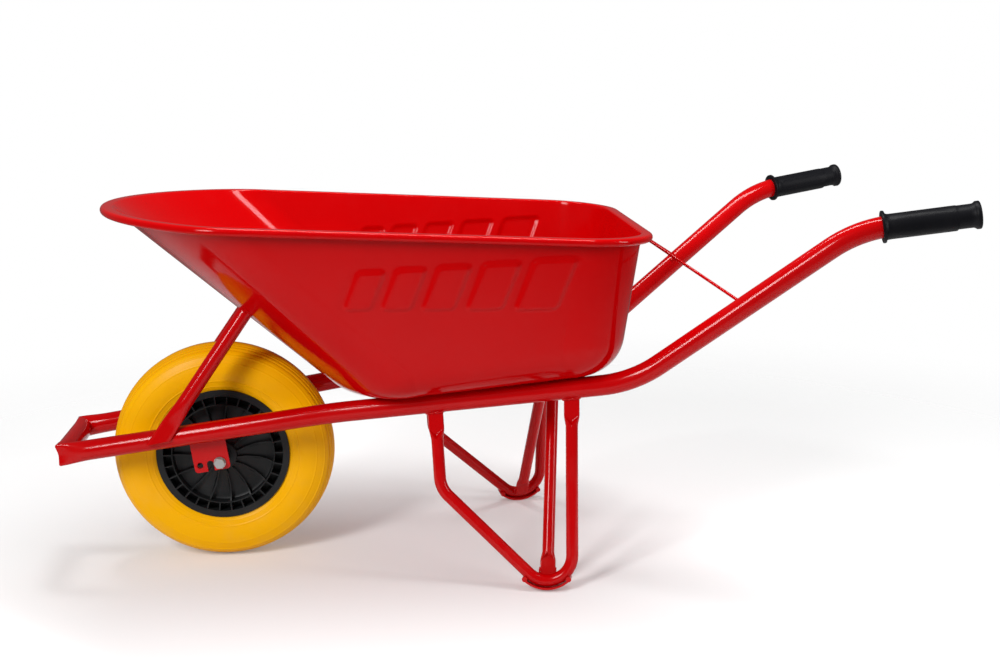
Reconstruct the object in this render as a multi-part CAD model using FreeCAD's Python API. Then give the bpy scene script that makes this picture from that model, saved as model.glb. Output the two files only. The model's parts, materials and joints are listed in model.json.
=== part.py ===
import FreeCAD, Part
import math
import os
from FreeCAD import Vector

# Builder's wheelbarrow: a deep pressed tray on a one-inch tube frame, with one wheel in
# front and two braced legs. Millimetres. X runs from the wheel to the handles, Y across,
# Z up. While it is drawn, X = 0 is the axle and Z = 0 the ground. At the end everything
# moves along X, so that the origin is under the middle of the whole barrow.

# Wheel
WHEEL_OD = 376.0
TYRE_WIDTH = 88.0
TREAD_HALF = 33.0            # half width of the crowned tread
SHOULDER_DROP = 12.0         # how much lower the tread is at its edges
GROOVE_WIDTH = 1.6
GROOVE_DEPTH = 2.2
GROOVES = (13.0, 20.0, 27.0)  # distance of the tread grooves from the middle plane
RIM_FLANGE_OD = 225.0
RIM_SEAT_OD = 209.0
RIM_WIDTH = 82.0
FLANGE_THICKNESS = 3.5
DRUM_WALL = 3.5
POCKET_COUNT = 30
POCKET_BAND = 13.5           # radial size of the pockets
POCKET_DEPTH = 23.0
POCKET_WALL = 2.2
DISC_WALL = 4.0
RIB_COUNT = 15
RIB_WALL = 2.2
HUB_OD = 48.0
HUB_LENGTH = 104.0
BUSH_WALL = 2.5
BUSH_LENGTH = 30.0
BUSH_FLANGE = 4.0            # how far the bush flange stands past the hub bore
BUSH_FLANGE_WALL = 2.0
RUNNING_CLEARANCE = 0.06     # radial, bush on axle tube
END_FLOAT = 0.5              # side play of the wheel between its spacers

# Axle
AXLE_TUBE_OD = 20.0
BOLT_D = 10.0
BOLT_HOLE_D = 10.5
HEAD_AF = 17.0               # across the flats of the bolt head and nut
HEAD_H = 6.4
NUT_H = 8.0
WASHER_OD = 20.0
WASHER_T = 2.0
THREAD_OUT = 6.0             # bolt length past its nut
SPACER_WALL = 3.5

# Tube frame
RAIL_OD = 33.7
RAIL_WALL = 1.6
NOSE_X = -256.0              # nose tube, ahead of the axle
NOSE_HALF = 84.6             # half spacing of the rails at the nose
NOSE_Z = 209.7
FLARE_X = 192.6              # where the rails start to open out
FLARE_HALF = 119.6
FLARE_Z = 276.9
FLARE_RADIUS = 600.0
RISE_X = 675.8               # where the rails turn up to the handles
RISE_HALF = 204.5
RISE_Z = 336.9
RISE_RADIUS = 189.0
SHOULDER_X = 1001.9          # where the rails level out to the grips
SHOULDER_HALF = 298.5
SHOULDER_Z = 589.4
SHOULDER_RADIUS = 191.0
END_X = 1172.5
END_HALF = 336.0
END_Z = 614.6

# Grips
GRIP_LENGTH = 145.0
GRIP_WALL = 2.1              # rubber over the rail
GRIP_TIP_WALL = 1.4
GRIP_FLANGE = 8.1            # how far the hand stop stands out from the rail
GRIP_FLANGE_T = 4.5
GRIP_END_FLANGE = 4.6
GRIP_END_T = 7.0
GRIP_STEP = 0.76             # share of the grip taken by its thicker part
GRIP_END_WALL = 4.0
GRIP_FIT = 0.05              # radial, sleeve on the rail

# Wheel brackets
BRACKET_T = 5.0
BRACKET_BACK = 16.0          # plate behind the axle
BRACKET_FRONT = 43.0         # plate ahead of the axle
BRACKET_BELOW = 12.0         # plate under the axle
BRACKET_CORNER = 6.0
WELD_BITE = 1.0              # how far a coped edge reaches past the tube's side
SLOT_AHEAD = 16.0            # open slot ahead of the axle
SLOT_WIDTH = 11.0
SLOT_RISE = 6.0              # top of the slot above the axle line
SPARE_HOLE_AHEAD = 33.0
SPARE_HOLE_D = 10.5

# Leg frames
LEG_OD = 20.0
LEG_WALL = 1.5
LEG_FRONT_X = 358.5
LEG_FRONT_LEAN = 2.8         # degrees
LEG_RUN_ANGLE = 44.4         # degrees, the run from knee to foot
LEG_REAR_LEAN = 0.8          # degrees
LEG_SPLAY = 0.173            # sideways run per unit of height
KNEE_RADIUS = 45.0
FOOT_X = 533.8               # centre of the foot bend
FOOT_RADIUS = 41.9
SHOE_GAP = 0.3
SHOE_T = 3.2
SHOE_WIDTH = 22.0
SHOE_ANGLE = 86.0            # degrees of arc
SHOE_PAD_R = 4.5
FLAT_WIDTH = 25.5            # crushed tube ends
FLAT_T = 8.0
FLAT_LENGTH = 30.0
FLAT_BLEND = 14.0
FLAT_STEP = 0.25             # the blend starts this much inside the round tube
BRACE_TOP_HALF = 34.0        # where a leg brace meets the rear cross bar
BRACE_FOOT_UP = 4.0          # end of the brace above the middle of the foot bend's tube
BRACE_FLAT_LENGTH = 26.0

# Struts from the rails to the tray front
STRUT_OD = 25.0
STRUT_WALL = 1.5
STRUT_FOOT_X = -94.0
STRUT_AIM = Vector(108.5, 71.0, 523.0)   # the point inside the tray that a strut aims at
STRUT_BLEND = 52.0
STRUT_FLAT_WIDTH = 29.0
STRUT_FLAT_T = 11.0
STRUT_FLAT_LENGTH = 60.0
STRUT_BITE = 1.0             # how far the flat end is let in to the rail's side

# Cross bars under the tray
BAR_WIDTH = 40.0
BAR_T = 5.0
FRONT_BAR_X = 318.0
REAR_BAR_X = 568.0

# Tray
SHEET = 1.2
MOUTH_FRONT_X = -182.0       # outside of the rolled edge
MOUTH_SHOULDER_BACK = 241.8  # from the front to the centres of the shoulder arcs
MOUTH_SHOULDER_R = 170.0
MOUTH_HALF = 298.0
MOUTH_REAR_X = 711.5
MOUTH_REAR_HALF = 290.0
MOUTH_CORNER_R = 130.0
MOUTH_Z = 608.95             # top of the edge above the axle
MOUTH_SLOPE = -0.0484
EDGE_WIDTH = 17.5            # flat flange and rolled edge together
BEAD_R = 6.0
LIP_OVERLAP = 2.0            # flange over the top of the wall
FLOOR_FRONT_X = 207.0        # the floor, as if its edges were sharp
FLOOR_SHOULDER_BACK = 143.9
FLOOR_SHOULDER_R = 110.0
FLOOR_HALF = 205.0
FLOOR_REAR_X = 663.0
FLOOR_REAR_HALF = 243.0
FLOOR_CORNER_R = 80.0
FLOOR_EDGE_R = 70.0

# Tray bolts
TRAY_BOLT_D = 8.0
TRAY_BOLT_HOLE_D = 9.0
TRAY_BOLT_HALF = 70.0        # half spacing across
TRAY_HEAD_D = 20.0
TRAY_HEAD_H = 4.4
TRAY_WASHER_OD = 16.0
TRAY_WASHER_T = 1.6
TRAY_NUT_AF = 13.0
TRAY_NUT_H = 6.5
TRAY_THREAD_OUT = 4.0

# Rear stay
STAY_D = 5.0
STAY_RAIL_X = 838.5          # where the rod is welded on the rails
STAY_BEND_R = 22.0
STAY_BITE = 0.5              # how far its ends are let in to the rails

UP = Vector(0, 0, 1)
ACROSS = Vector(0, 1, 0)
ORIGIN = Vector(0, 0, 0)
SIDES = (-1, 1)              # left and right

AXLE = Vector(0, 0, WHEEL_OD / 2)
RAIL_R = RAIL_OD / 2
LEG_R = LEG_OD / 2


# Every piece that comes in pairs is drawn on the right, and mirrored for the left.

def along(start, end, x):
    """The point of the line start-end at this x."""
    return start + (end - start) * ((x - start.x) / (end.x - start.x))


def mirrored(shape):
    """The left piece of a right one."""
    return shape.mirror(ORIGIN, ACROSS)


def line(a, b):
    return Part.LineSegment(a, b).toShape()


def bent_path(points, radii):
    """Straight runs through the points, joined by tangent arcs."""
    edges = []
    start = points[0]
    for before, corner, after, radius in zip(points, points[1:], points[2:], radii):
        a = (before - corner).normalize()
        b = (after - corner).normalize()
        half = a.getAngle(b) / 2
        run = radius / math.tan(half)
        first = corner + a * run
        last = corner + b * run
        middle = corner + (a + b).normalize() * (radius / math.sin(half) - radius)
        edges.append(line(start, first))
        edges.append(Part.Arc(first, middle, last).toShape())
        start = last
    edges.append(line(start, points[-1]))
    return Part.Wire(edges)


def rod(path, radius):
    """A round bar along a path."""
    start = path.Edges[0].valueAt(path.Edges[0].FirstParameter)
    heading = path.Edges[0].tangentAt(path.Edges[0].FirstParameter)
    ring = Part.Wire([Part.Circle(start, heading, radius).toShape()])
    return path.makePipeShell([ring], True, False)


def tube(path, radius, wall):
    return rod(path, radius).cut(rod(path, radius - wall))


def cylinder(centre, axis, radius, length):
    """A cylinder with the centre of its length at this point."""
    start = centre - Vector(axis).normalize() * (length / 2)
    return Part.makeCylinder(radius, length, start, axis)


def ring(centre, axis, outer, inner, length):
    return cylinder(centre, axis, outer, length).cut(cylinder(centre, axis, inner, length + 2))


def hexagon(centre, axis, across_flats, height):
    """A hexagonal prism with the centre of its height at this point."""
    corner = across_flats / math.sqrt(3)
    turns = [math.radians(60 * k) for k in range(7)]
    points = [Vector(corner * math.cos(t), corner * math.sin(t), 0) for t in turns]
    prism = Part.Face(Part.makePolygon(points)).extrude(UP * height)
    chamfer = Part.makeCone(corner + height * 0.1, across_flats * 0.46, height, Vector(0, 0, height * 0.12))
    prism = prism.common(Part.makeCylinder(corner + 1, height * 0.8).fuse(chamfer.common(prism)))
    prism.translate(Vector(0, 0, -height / 2))
    prism.Placement = FreeCAD.Placement(centre, FreeCAD.Rotation(UP, axis)).multiply(prism.Placement)
    return prism


def half_space(point, normal, size=400.0):
    """A block on the side of a plane that its normal points to."""
    block = Part.makeBox(size, size, size, Vector(-size / 2, -size / 2, 0))
    block.Placement = FreeCAD.Placement(point, FreeCAD.Rotation(UP, normal))
    return block


def oval(centre, wide, thin, half_width, half_t, power):
    """A closed smooth outline, from a circle (power 2) to a rounded bar (power 5)."""
    points = []
    for k in range(24):
        turn = math.radians(15 * k)
        c, s = math.cos(turn), math.sin(turn)
        x = math.copysign(abs(c) ** (2 / power), c) * half_width
        y = math.copysign(abs(s) ** (2 / power), s) * half_t
        points.append(centre + wide * x + thin * y)
    curve = Part.BSplineCurve()
    curve.interpolate(Points=points, PeriodicFlag=True)
    return Part.Wire([curve.toShape()])


def flattened_end(start, heading, wide, radius, blend_length, flat_length, flat_width, flat_t):
    """A tube end crushed flat: a blend from round, and the flat beyond it."""
    heading = Vector(heading).normalize()
    wide = (wide - heading * wide.dot(heading)).normalize()
    thin = heading.cross(wide)
    flat_at = start + heading * blend_length
    end = flat_at + heading * flat_length
    round_ring = oval(start, wide, thin, radius - FLAT_STEP, radius - FLAT_STEP, 2)
    flat_ring = oval(flat_at, wide, thin, flat_width / 2, flat_t / 2, 4)
    end_ring = oval(end, wide, thin, flat_width / 2, flat_t / 2, 4)
    blend = Part.makeLoft([round_ring, flat_ring], True, True)
    return blend.fuse(Part.makeLoft([flat_ring, end_ring], True, True))


# ---------------------------------------------------------------- rails

NOSE = Vector(NOSE_X, NOSE_HALF, NOSE_Z)
FLARE = Vector(FLARE_X, FLARE_HALF, FLARE_Z)
RISE = Vector(RISE_X, RISE_HALF, RISE_Z)
SHOULDER = Vector(SHOULDER_X, SHOULDER_HALF, SHOULDER_Z)
END = Vector(END_X, END_HALF, END_Z)


def nose_mitre():
    """The plane of the mitred corner, facing the rail."""
    return ((FLARE - NOSE).normalize() + ACROSS).normalize()


def rail_path():
    start = NOSE - (FLARE - NOSE).normalize() * RAIL_OD
    return bent_path([start, FLARE, RISE, SHOULDER, END], (FLARE_RADIUS, RISE_RADIUS, SHOULDER_RADIUS))


def rail_body():
    """The rail without its bore, for coping what is welded to it."""
    return rod(rail_path(), RAIL_R).cut(half_space(NOSE, nose_mitre() * -1))


def make_rail():
    return rail_body().cut(rod(rail_path(), RAIL_R - RAIL_WALL))


def make_nose_tube():
    reach = NOSE_HALF + RAIL_OD
    path = Part.Wire([line(Vector(NOSE_X, -reach, NOSE_Z), Vector(NOSE_X, reach, NOSE_Z))])
    corner = half_space(NOSE, nose_mitre())
    return tube(path, RAIL_R, RAIL_WALL).cut(corner).cut(mirrored(corner))


# ---------------------------------------------------------------- grips

def make_grip():
    """A rubber sleeve turned about the rail's end run, its mouth giving way to the bend."""
    heading = (END - SHOULDER).normalize()
    bore = RAIL_R + GRIP_FIT
    step = GRIP_LENGTH * GRIP_STEP
    inside = GRIP_LENGTH - GRIP_END_WALL
    body = bore + GRIP_WALL
    tip = bore + GRIP_TIP_WALL
    stop = bore + GRIP_FLANGE
    end = bore + GRIP_END_FLANGE
    outline = [(bore, 0), (stop, 0), (stop, GRIP_FLANGE_T), (body, GRIP_FLANGE_T + 4), (body, step),
               (tip, step + 2), (tip, GRIP_LENGTH - GRIP_END_T - 3), (end, GRIP_LENGTH - GRIP_END_T),
               (end, GRIP_LENGTH - 2), (end - 2, GRIP_LENGTH), (0, GRIP_LENGTH), (0, inside), (bore, inside)]
    face = Part.Face(Part.makePolygon([Vector(r, 0, h) for r, h in outline + outline[:1]]))
    grip = face.revolve(ORIGIN, UP, 360)
    start = END - heading * inside
    grip.Placement = FreeCAD.Placement(start, FreeCAD.Rotation(UP, heading))
    return grip.cut(rail_body())


# ---------------------------------------------------------------- wheel

def about_axle(points):
    """A solid turned about the axle from (radius, y) points."""
    corners = [AXLE + Vector(r, y, 0) for r, y in points]
    face = Part.Face(Part.makePolygon(corners + corners[:1]))
    return face.revolve(AXLE, ACROSS, 360)


def make_tyre():
    """A solid foamed tyre, its inside filling the rim between the flanges."""
    top = WHEEL_OD / 2
    edge = top - SHOULDER_DROP
    seat = RIM_SEAT_OD / 2
    lip = RIM_FLANGE_OD / 2
    inner = RIM_WIDTH / 2 - FLANGE_THICKNESS
    belly = lip + (edge - lip) * 0.5

    def at(r, y):
        return AXLE + Vector(r, y, 0)

    crown = Part.Arc(at(edge, -TREAD_HALF), at(top, 0), at(edge, TREAD_HALF)).toShape()
    right = Part.Arc(at(edge, TREAD_HALF), at(belly, TYRE_WIDTH / 2), at(lip, inner)).toShape()
    left = Part.Arc(at(lip, -inner), at(belly, -TYRE_WIDTH / 2), at(edge, -TREAD_HALF)).toShape()
    foot = [line(at(lip, inner), at(seat, inner)), line(at(seat, inner), at(seat, -inner)),
            line(at(seat, -inner), at(lip, -inner))]
    tyre = Part.Face(Part.Wire([crown, right] + foot + [left])).revolve(AXLE, ACROSS, 360)
    for y in GROOVES:
        bottom = crown_radius(y) - GROOVE_DEPTH
        for side in SIDES:
            tyre = tyre.cut(ring(AXLE + ACROSS * side * y, ACROSS, top + 1, bottom, GROOVE_WIDTH))
    return tyre


def crown_radius(y):
    """The tread's radius at this distance from the middle plane."""
    arc = (TREAD_HALF ** 2 + SHOULDER_DROP ** 2) / (2 * SHOULDER_DROP)
    return WHEEL_OD / 2 - arc + math.sqrt(arc ** 2 - y ** 2)


def make_rim_half():
    """Half of the moulded wheel: drum, flange, pocket ring, ribbed disc and hub."""
    face_y = RIM_WIDTH / 2
    seat = RIM_SEAT_OD / 2
    lip = RIM_FLANGE_OD / 2
    drum = seat - DRUM_WALL
    ring_in = drum - POCKET_BAND
    floor_y = face_y - POCKET_DEPTH
    hub = HUB_OD / 2
    bore = AXLE_TUBE_OD / 2 + RUNNING_CLEARANCE + BUSH_WALL
    hub_y = HUB_LENGTH / 2
    back_y = floor_y - DISC_WALL
    profile = [(bore, 0), (hub, 0), (hub, back_y), (drum, back_y), (drum, 0), (seat, 0),
               (seat, face_y - FLANGE_THICKNESS), (lip, face_y - FLANGE_THICKNESS), (lip, face_y),
               (ring_in - POCKET_WALL, face_y), (ring_in - POCKET_WALL, floor_y), (hub, floor_y),
               (hub, hub_y), (bore, hub_y)]
    half = about_axle(profile)
    pockets = []
    for k in range(POCKET_COUNT):
        wedge = pocket_wedge(ring_in, drum, floor_y, face_y + 1)
        wedge.rotate(AXLE, ACROSS, 360 * k / POCKET_COUNT)
        pockets.append(wedge)
    half = half.cut(Part.makeCompound(pockets))
    ribs = []
    for k in range(RIB_COUNT):
        rib = disc_rib(hub, ring_in - POCKET_WALL, floor_y, face_y)
        rib.rotate(AXLE, ACROSS, 360 * (k + 0.5) / RIB_COUNT)
        ribs.append(rib)
    return half.fuse(ribs)


def pocket_wedge(inner, outer, low, high):
    """One pocket of the ring, the wall to its neighbour left standing."""
    half_turn = math.pi / POCKET_COUNT
    points = []
    for radius, sign in ((inner, -1), (inner, 1), (outer, 1), (outer, -1)):
        turn = sign * (half_turn - POCKET_WALL / 2 / radius)
        points.append(AXLE + Vector(radius * math.cos(turn), low, radius * math.sin(turn)))
    return Part.Face(Part.makePolygon(points + points[:1])).extrude(ACROSS * (high - low))


def disc_rib(inner, outer, low, high):
    """A thin rib on the disc, highest at the hub and the pocket ring."""
    dip = low + (high - low) * 0.35
    points = [(inner - 2, low - 1), (outer + 1, low - 1), (outer + 1, high - 3),
              (outer - 8, dip + 4), ((inner + outer) / 2, dip), (inner - 2, high)]
    corners = [AXLE + Vector(r, y, -RIB_WALL / 2) for r, y in points]
    return Part.Face(Part.makePolygon(corners + corners[:1])).extrude(UP * RIB_WALL)


def make_hub_bush():
    """A flanged nylon bush pressed in the hub, turning on the axle tube."""
    shaft = AXLE_TUBE_OD / 2 + RUNNING_CLEARANCE
    outer = shaft + BUSH_WALL
    end_y = HUB_LENGTH / 2
    return about_axle([(shaft, end_y - BUSH_LENGTH), (outer, end_y - BUSH_LENGTH), (outer, end_y),
                       (outer + BUSH_FLANGE, end_y), (outer + BUSH_FLANGE, end_y + BUSH_FLANGE_WALL),
                       (shaft, end_y + BUSH_FLANGE_WALL)])


def make_axle_spacer():
    """A collar on the axle tube that keeps the wheel in the middle."""
    start = HUB_LENGTH / 2 + BUSH_FLANGE_WALL + END_FLOAT
    length = bracket_inside() - start
    centre = AXLE + ACROSS * (start + length / 2)
    return ring(centre, ACROSS, AXLE_TUBE_OD / 2 + SPACER_WALL, AXLE_TUBE_OD / 2, length)


def make_axle_tube():
    return ring(AXLE, ACROSS, AXLE_TUBE_OD / 2, BOLT_HOLE_D / 2, 2 * bracket_inside())


def bracket_inside():
    """Distance from the middle plane to a bracket plate's inner face."""
    return along(NOSE, FLARE, 0).y - RAIL_R - BRACKET_T + WELD_BITE


def washer_outside():
    return bracket_inside() + BRACKET_T + WASHER_T


def make_axle_bolt():
    """A hexagon bolt, head on the left, through both brackets."""
    face = washer_outside()
    head = hexagon(AXLE - ACROSS * (face + HEAD_H / 2), ACROSS * -1, HEAD_AF, HEAD_H)
    end = face + NUT_H + THREAD_OUT
    shank = Part.makeCylinder(BOLT_D / 2, face + end, AXLE - ACROSS * face, ACROSS)
    return head.fuse(shank)


def make_axle_nut():
    face = washer_outside()
    nut = hexagon(AXLE + ACROSS * (face + NUT_H / 2), ACROSS, HEAD_AF, NUT_H)
    return nut.cut(cylinder(AXLE + ACROSS * (face + NUT_H / 2), ACROSS, BOLT_D / 2, NUT_H + 2))


def make_axle_washers():
    offset = bracket_inside() + BRACKET_T + WASHER_T / 2
    washer = ring(AXLE + ACROSS * offset, ACROSS, WASHER_OD / 2, BOLT_HOLE_D / 2, WASHER_T)
    return Part.makeCompound([washer, mirrored(washer)])


# ---------------------------------------------------------------- wheel brackets

def bracket_frame():
    """Directions in the bracket plate: forward along the rail, and up square to it."""
    slope = math.atan2(FLARE.z - NOSE.z, FLARE.x - NOSE.x)
    forward = Vector(-math.cos(slope), 0, -math.sin(slope))
    return forward, Vector(-math.sin(slope), 0, math.cos(slope))


def make_axle_bracket():
    """A plate welded inside the rail, with the axle hole, an open slot and a spare hole."""
    forward, up = bracket_frame()
    inside = ACROSS * bracket_inside()
    rail_up = (along(NOSE, FLARE, 0) - AXLE).dot(up)

    def at(ahead, above):
        return AXLE + inside + forward * ahead + up * above

    corners = [at(-BRACKET_BACK, -BRACKET_BELOW), at(BRACKET_FRONT, -BRACKET_BELOW),
               at(BRACKET_FRONT, rail_up), at(-BRACKET_BACK, rail_up)]
    plate = Part.Face(Part.makePolygon(corners + corners[:1])).extrude(ACROSS * BRACKET_T)
    low = [edge for edge in plate.Edges if is_low_corner(edge, at(0, -BRACKET_BELOW), up)]
    plate = plate.makeFillet(BRACKET_CORNER, low)
    through = ACROSS * (BRACKET_T / 2)
    plate = plate.cut(cylinder(at(0, 0) + through, ACROSS, BOLT_HOLE_D / 2, BRACKET_T + 2))
    plate = plate.cut(cylinder(at(SPARE_HOLE_AHEAD, 0) + through, ACROSS, SPARE_HOLE_D / 2, BRACKET_T + 2))
    slot_top = SLOT_RISE - SLOT_WIDTH / 2
    slot = cylinder(at(SLOT_AHEAD, slot_top) + through, ACROSS, SLOT_WIDTH / 2, BRACKET_T + 2)
    mouth = [at(SLOT_AHEAD - SLOT_WIDTH / 2, slot_top), at(SLOT_AHEAD + SLOT_WIDTH / 2, slot_top),
             at(SLOT_AHEAD + SLOT_WIDTH / 2, -BRACKET_BELOW - 2),
             at(SLOT_AHEAD - SLOT_WIDTH / 2, -BRACKET_BELOW - 2)]
    mouth = [p - ACROSS for p in mouth]
    opening = Part.Face(Part.makePolygon(mouth + mouth[:1])).extrude(ACROSS * (BRACKET_T + 2))
    return plate.cut(slot).cut(opening).cut(rail_body())


def is_low_corner(edge, low_point, up):
    """True for an edge across the plate at its lower corners."""
    first, last = edge.Vertexes[0].Point, edge.Vertexes[-1].Point
    across = abs((last - first).normalize().y) > 0.99
    return across and (first - low_point).dot(up) < 1


# ---------------------------------------------------------------- leg frames

LEG_DOWN = Vector(0, LEG_SPLAY, -1).normalize()
RAIL_WAY = (RISE - FLARE).normalize()
LEG_BACK = (RAIL_WAY - LEG_DOWN * RAIL_WAY.dot(LEG_DOWN)).normalize()
LEG_INWARD = LEG_DOWN.cross(LEG_BACK)
LEG_START = along(FLARE, RISE, LEG_FRONT_X)
# The plane of a leg frame holds the rail and leans out towards the foot. Places in it are
# distances back and down from its start on the rail.


def in_plane(back, down):
    return LEG_START + LEG_BACK * back + LEG_DOWN * down


def plane_place(point):
    """A point's distances back and down in the leg plane."""
    offset = point - LEG_START
    return offset.dot(LEG_BACK), offset.dot(LEG_DOWN)


def foot_centre():
    """The centre of the foot bend, so high that the shoe's lowest edge is on the ground."""
    shoe_r = FOOT_RADIUS + LEG_R + SHOE_GAP + SHOE_T
    tilt = abs(LEG_INWARD.z)
    height = shoe_r * math.sqrt(1 - tilt ** 2) + SHOE_WIDTH / 2 * tilt
    over = along(FLARE, RISE, FOOT_X)
    return over + LEG_DOWN * ((over.z - height) / -LEG_DOWN.z)


def meet(p, p_way, q, q_way):
    """Where two lines in the leg plane cross, each given by a place and a direction."""
    cross = p_way[0] * q_way[1] - p_way[1] * q_way[0]
    run = ((q[0] - p[0]) * q_way[1] - (q[1] - p[1]) * q_way[0]) / cross
    return p[0] + p_way[0] * run, p[1] + p_way[1] * run


def leg_corners():
    """The leg's corner points: front top, knee, foot and rear top."""
    centre = plane_place(foot_centre())
    run = math.radians(LEG_RUN_ANGLE)
    front = math.radians(LEG_FRONT_LEAN)
    rear = math.radians(LEG_REAR_LEAN)
    run_way = (-math.cos(run), -math.sin(run))
    run_out = (-math.sin(run), math.cos(run))
    rear_way = (math.sin(rear), -math.cos(rear))
    rear_out = (math.cos(rear), math.sin(rear))
    share = FOOT_RADIUS / (1 + run_out[0] * rear_out[0] + run_out[1] * rear_out[1])
    foot = [centre[k] + (run_out[k] + rear_out[k]) * share for k in (0, 1)]
    knee = meet((0, 0), (math.sin(front), math.cos(front)), foot, run_way)
    rail = plane_place(LEG_START + RAIL_WAY)
    top = meet(foot, rear_way, (0, 0), rail)
    return [in_plane(*place) for place in ((0, 0), knee, foot, top)]


def leg_body():
    """The leg's round run without its bore, for coping what is welded to it."""
    return rod(bent_path(leg_corners(), (KNEE_RADIUS, FOOT_RADIUS)), LEG_R)


def make_leg():
    """A tube bent to a V, both ends crushed flat and welded under the rail."""
    front, knee, foot, rear = leg_corners()
    front_way = (front - knee).normalize()
    rear_way = (rear - foot).normalize()
    reach = RAIL_R + FLAT_LENGTH + FLAT_BLEND
    front_start = front - front_way * reach
    rear_start = rear - rear_way * reach
    leg = tube(bent_path([front_start, knee, foot, rear_start], (KNEE_RADIUS, FOOT_RADIUS)), LEG_R, LEG_WALL)
    flat = FLAT_LENGTH + RAIL_R
    ends = [leg_flat(front_start, front_way, flat), leg_flat(rear_start, rear_way, flat)]
    return leg.fuse(ends).cut(rail_body())


def leg_flat(start, heading, flat_length):
    """The crushed end of a leg tube, flat in the leg plane."""
    return flattened_end(start, heading, LEG_BACK, LEG_R, FLAT_BLEND, flat_length, FLAT_WIDTH, FLAT_T)


def make_foot_shoe():
    """A curved wear strap under the foot bend, rolled at both ends onto the tube."""
    centre = foot_centre()
    inner = FOOT_RADIUS + LEG_R + SHOE_GAP
    outer = inner + SHOE_T
    half = math.radians(SHOE_ANGLE / 2)
    edge = LEG_INWARD * (SHOE_WIDTH / 2)

    def at(radius, turn):
        way = LEG_DOWN * math.cos(turn) - LEG_BACK * math.sin(turn)
        return centre + way * radius - edge

    rim = [Part.Arc(at(inner, -half), at(inner, 0), at(inner, half)).toShape(),
           line(at(inner, half), at(outer, half)),
           Part.Arc(at(outer, half), at(outer, 0), at(outer, -half)).toShape(),
           line(at(outer, -half), at(inner, -half))]
    shoe = Part.Face(Part.Wire(rim)).extrude(edge * 2)
    rolls = [Part.makeCylinder(SHOE_PAD_R, SHOE_WIDTH, at(inner, turn), LEG_INWARD) for turn in (-half, half)]
    return shoe.fuse(rolls).cut(leg_body())


def make_leg_brace():
    """A tube from the inside of the foot up to the rear cross bar."""
    beside = foot_centre() + LEG_DOWN * (FOOT_RADIUS - BRACE_FOOT_UP) + LEG_INWARD * (LEG_R + FLAT_T / 2)
    bar_low = floor_point(REAR_BAR_X, 0) - floor_normal() * BAR_T
    head = Vector(REAR_BAR_X, BRACE_TOP_HALF, bar_low.z)
    heading = (beside - head).normalize()
    start = beside - heading * (FLAT_BLEND + BRACE_FLAT_LENGTH)
    brace = tube(Part.Wire([line(head - heading * LEG_OD, start)]), LEG_R, LEG_WALL)
    brace = brace.fuse(leg_flat(start, heading, BRACE_FLAT_LENGTH))
    return brace.cut(half_space(bar_low, floor_normal())).cut(leg_body())


# ---------------------------------------------------------------- tray

def floor_slope():
    return (RISE_Z - FLARE_Z) / (RISE_X - FLARE_X)


def floor_normal():
    """Square to the tray's floor, which lies along both rails."""
    return Vector(-floor_slope(), 0, 1).normalize()


def floor_point(x, y):
    """A point of the floor's underside, which rests on the rails."""
    rest = FLARE + floor_normal() * RAIL_R
    return Vector(x, y, rest.z + (x - rest.x) * floor_slope())


def mouth_normal():
    return Vector(-MOUTH_SLOPE, 0, 1).normalize()


def mouth_point(x):
    return Vector(x, 0, MOUTH_Z + MOUTH_SLOPE * x)


def plan_outline(front_x, shoulder_back, shoulder_r, half, rear_x, rear_half, corner_r, inset, front_extra):
    """A closed plan outline: front arc, shoulders, straight sides, round rear corners.

    The inset is taken off every radius, so all offsets of one outline share its centres. The
    front extra draws in the front arc alone, for a wall that leans.
    """
    shoulder_y = half - shoulder_r
    front_r = (shoulder_back ** 2 + shoulder_y ** 2 - shoulder_r ** 2) / (2 * (shoulder_back - shoulder_r))
    middle = front_x + front_r
    front_r -= front_extra
    shoulder_x = middle - math.sqrt((front_r - shoulder_r) ** 2 - shoulder_y ** 2)
    front = Vector(middle, 0, 0)
    shoulder = Vector(shoulder_x, shoulder_y, 0)
    corner = Vector(rear_x - corner_r, rear_half - corner_r, 0)
    between = corner - shoulder
    joint = math.atan2(shoulder.y, shoulder.x - front.x)
    turn = math.atan2(between.y, between.x) + math.acos((shoulder_r - corner_r) / between.Length)

    def on(centre, radius, angle):
        return centre + Vector(math.cos(angle), math.sin(angle), 0) * (radius - inset)

    start = on(front, front_r, math.pi)
    first = on(front, front_r, joint)
    second = on(shoulder, shoulder_r, turn)
    third = on(corner, corner_r, turn)
    last = on(corner, corner_r, 0)
    half_edges = [Part.Arc(start, on(front, front_r, (math.pi + joint) / 2), first).toShape(),
                  Part.Arc(first, on(shoulder, shoulder_r, (joint + turn) / 2), second).toShape(),
                  line(second, third),
                  Part.Arc(third, on(corner, corner_r, turn / 2), last).toShape(),
                  line(last, Vector(last.x, 0, 0))]
    other_edges = [mirrored(edge) for edge in half_edges]
    return Part.Wire(Part.sortEdges(half_edges + other_edges)[0])


def laid(wire, slope, height):
    """An outline drawn flat, tilted about Y to its slope and lifted to its height at X = 0."""
    wire.rotate(ORIGIN, ACROSS, -math.degrees(math.atan(slope)))
    wire.translate(UP * height)
    return wire


def front_slope():
    """The angle of the tray's front wall to the ground."""
    wall_top = mouth_point(MOUTH_FRONT_X + EDGE_WIDTH)
    wall_foot = floor_point(FLOOR_FRONT_X, 0)
    return math.atan2(wall_top.z - wall_foot.z, wall_foot.x - wall_top.x)


def mouth_wire(inset, front_extra):
    flat = plan_outline(MOUTH_FRONT_X, MOUTH_SHOULDER_BACK, MOUTH_SHOULDER_R, MOUTH_HALF,
                        MOUTH_REAR_X, MOUTH_REAR_HALF, MOUTH_CORNER_R, inset, front_extra)
    return laid(flat, MOUTH_SLOPE, MOUTH_Z)


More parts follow.
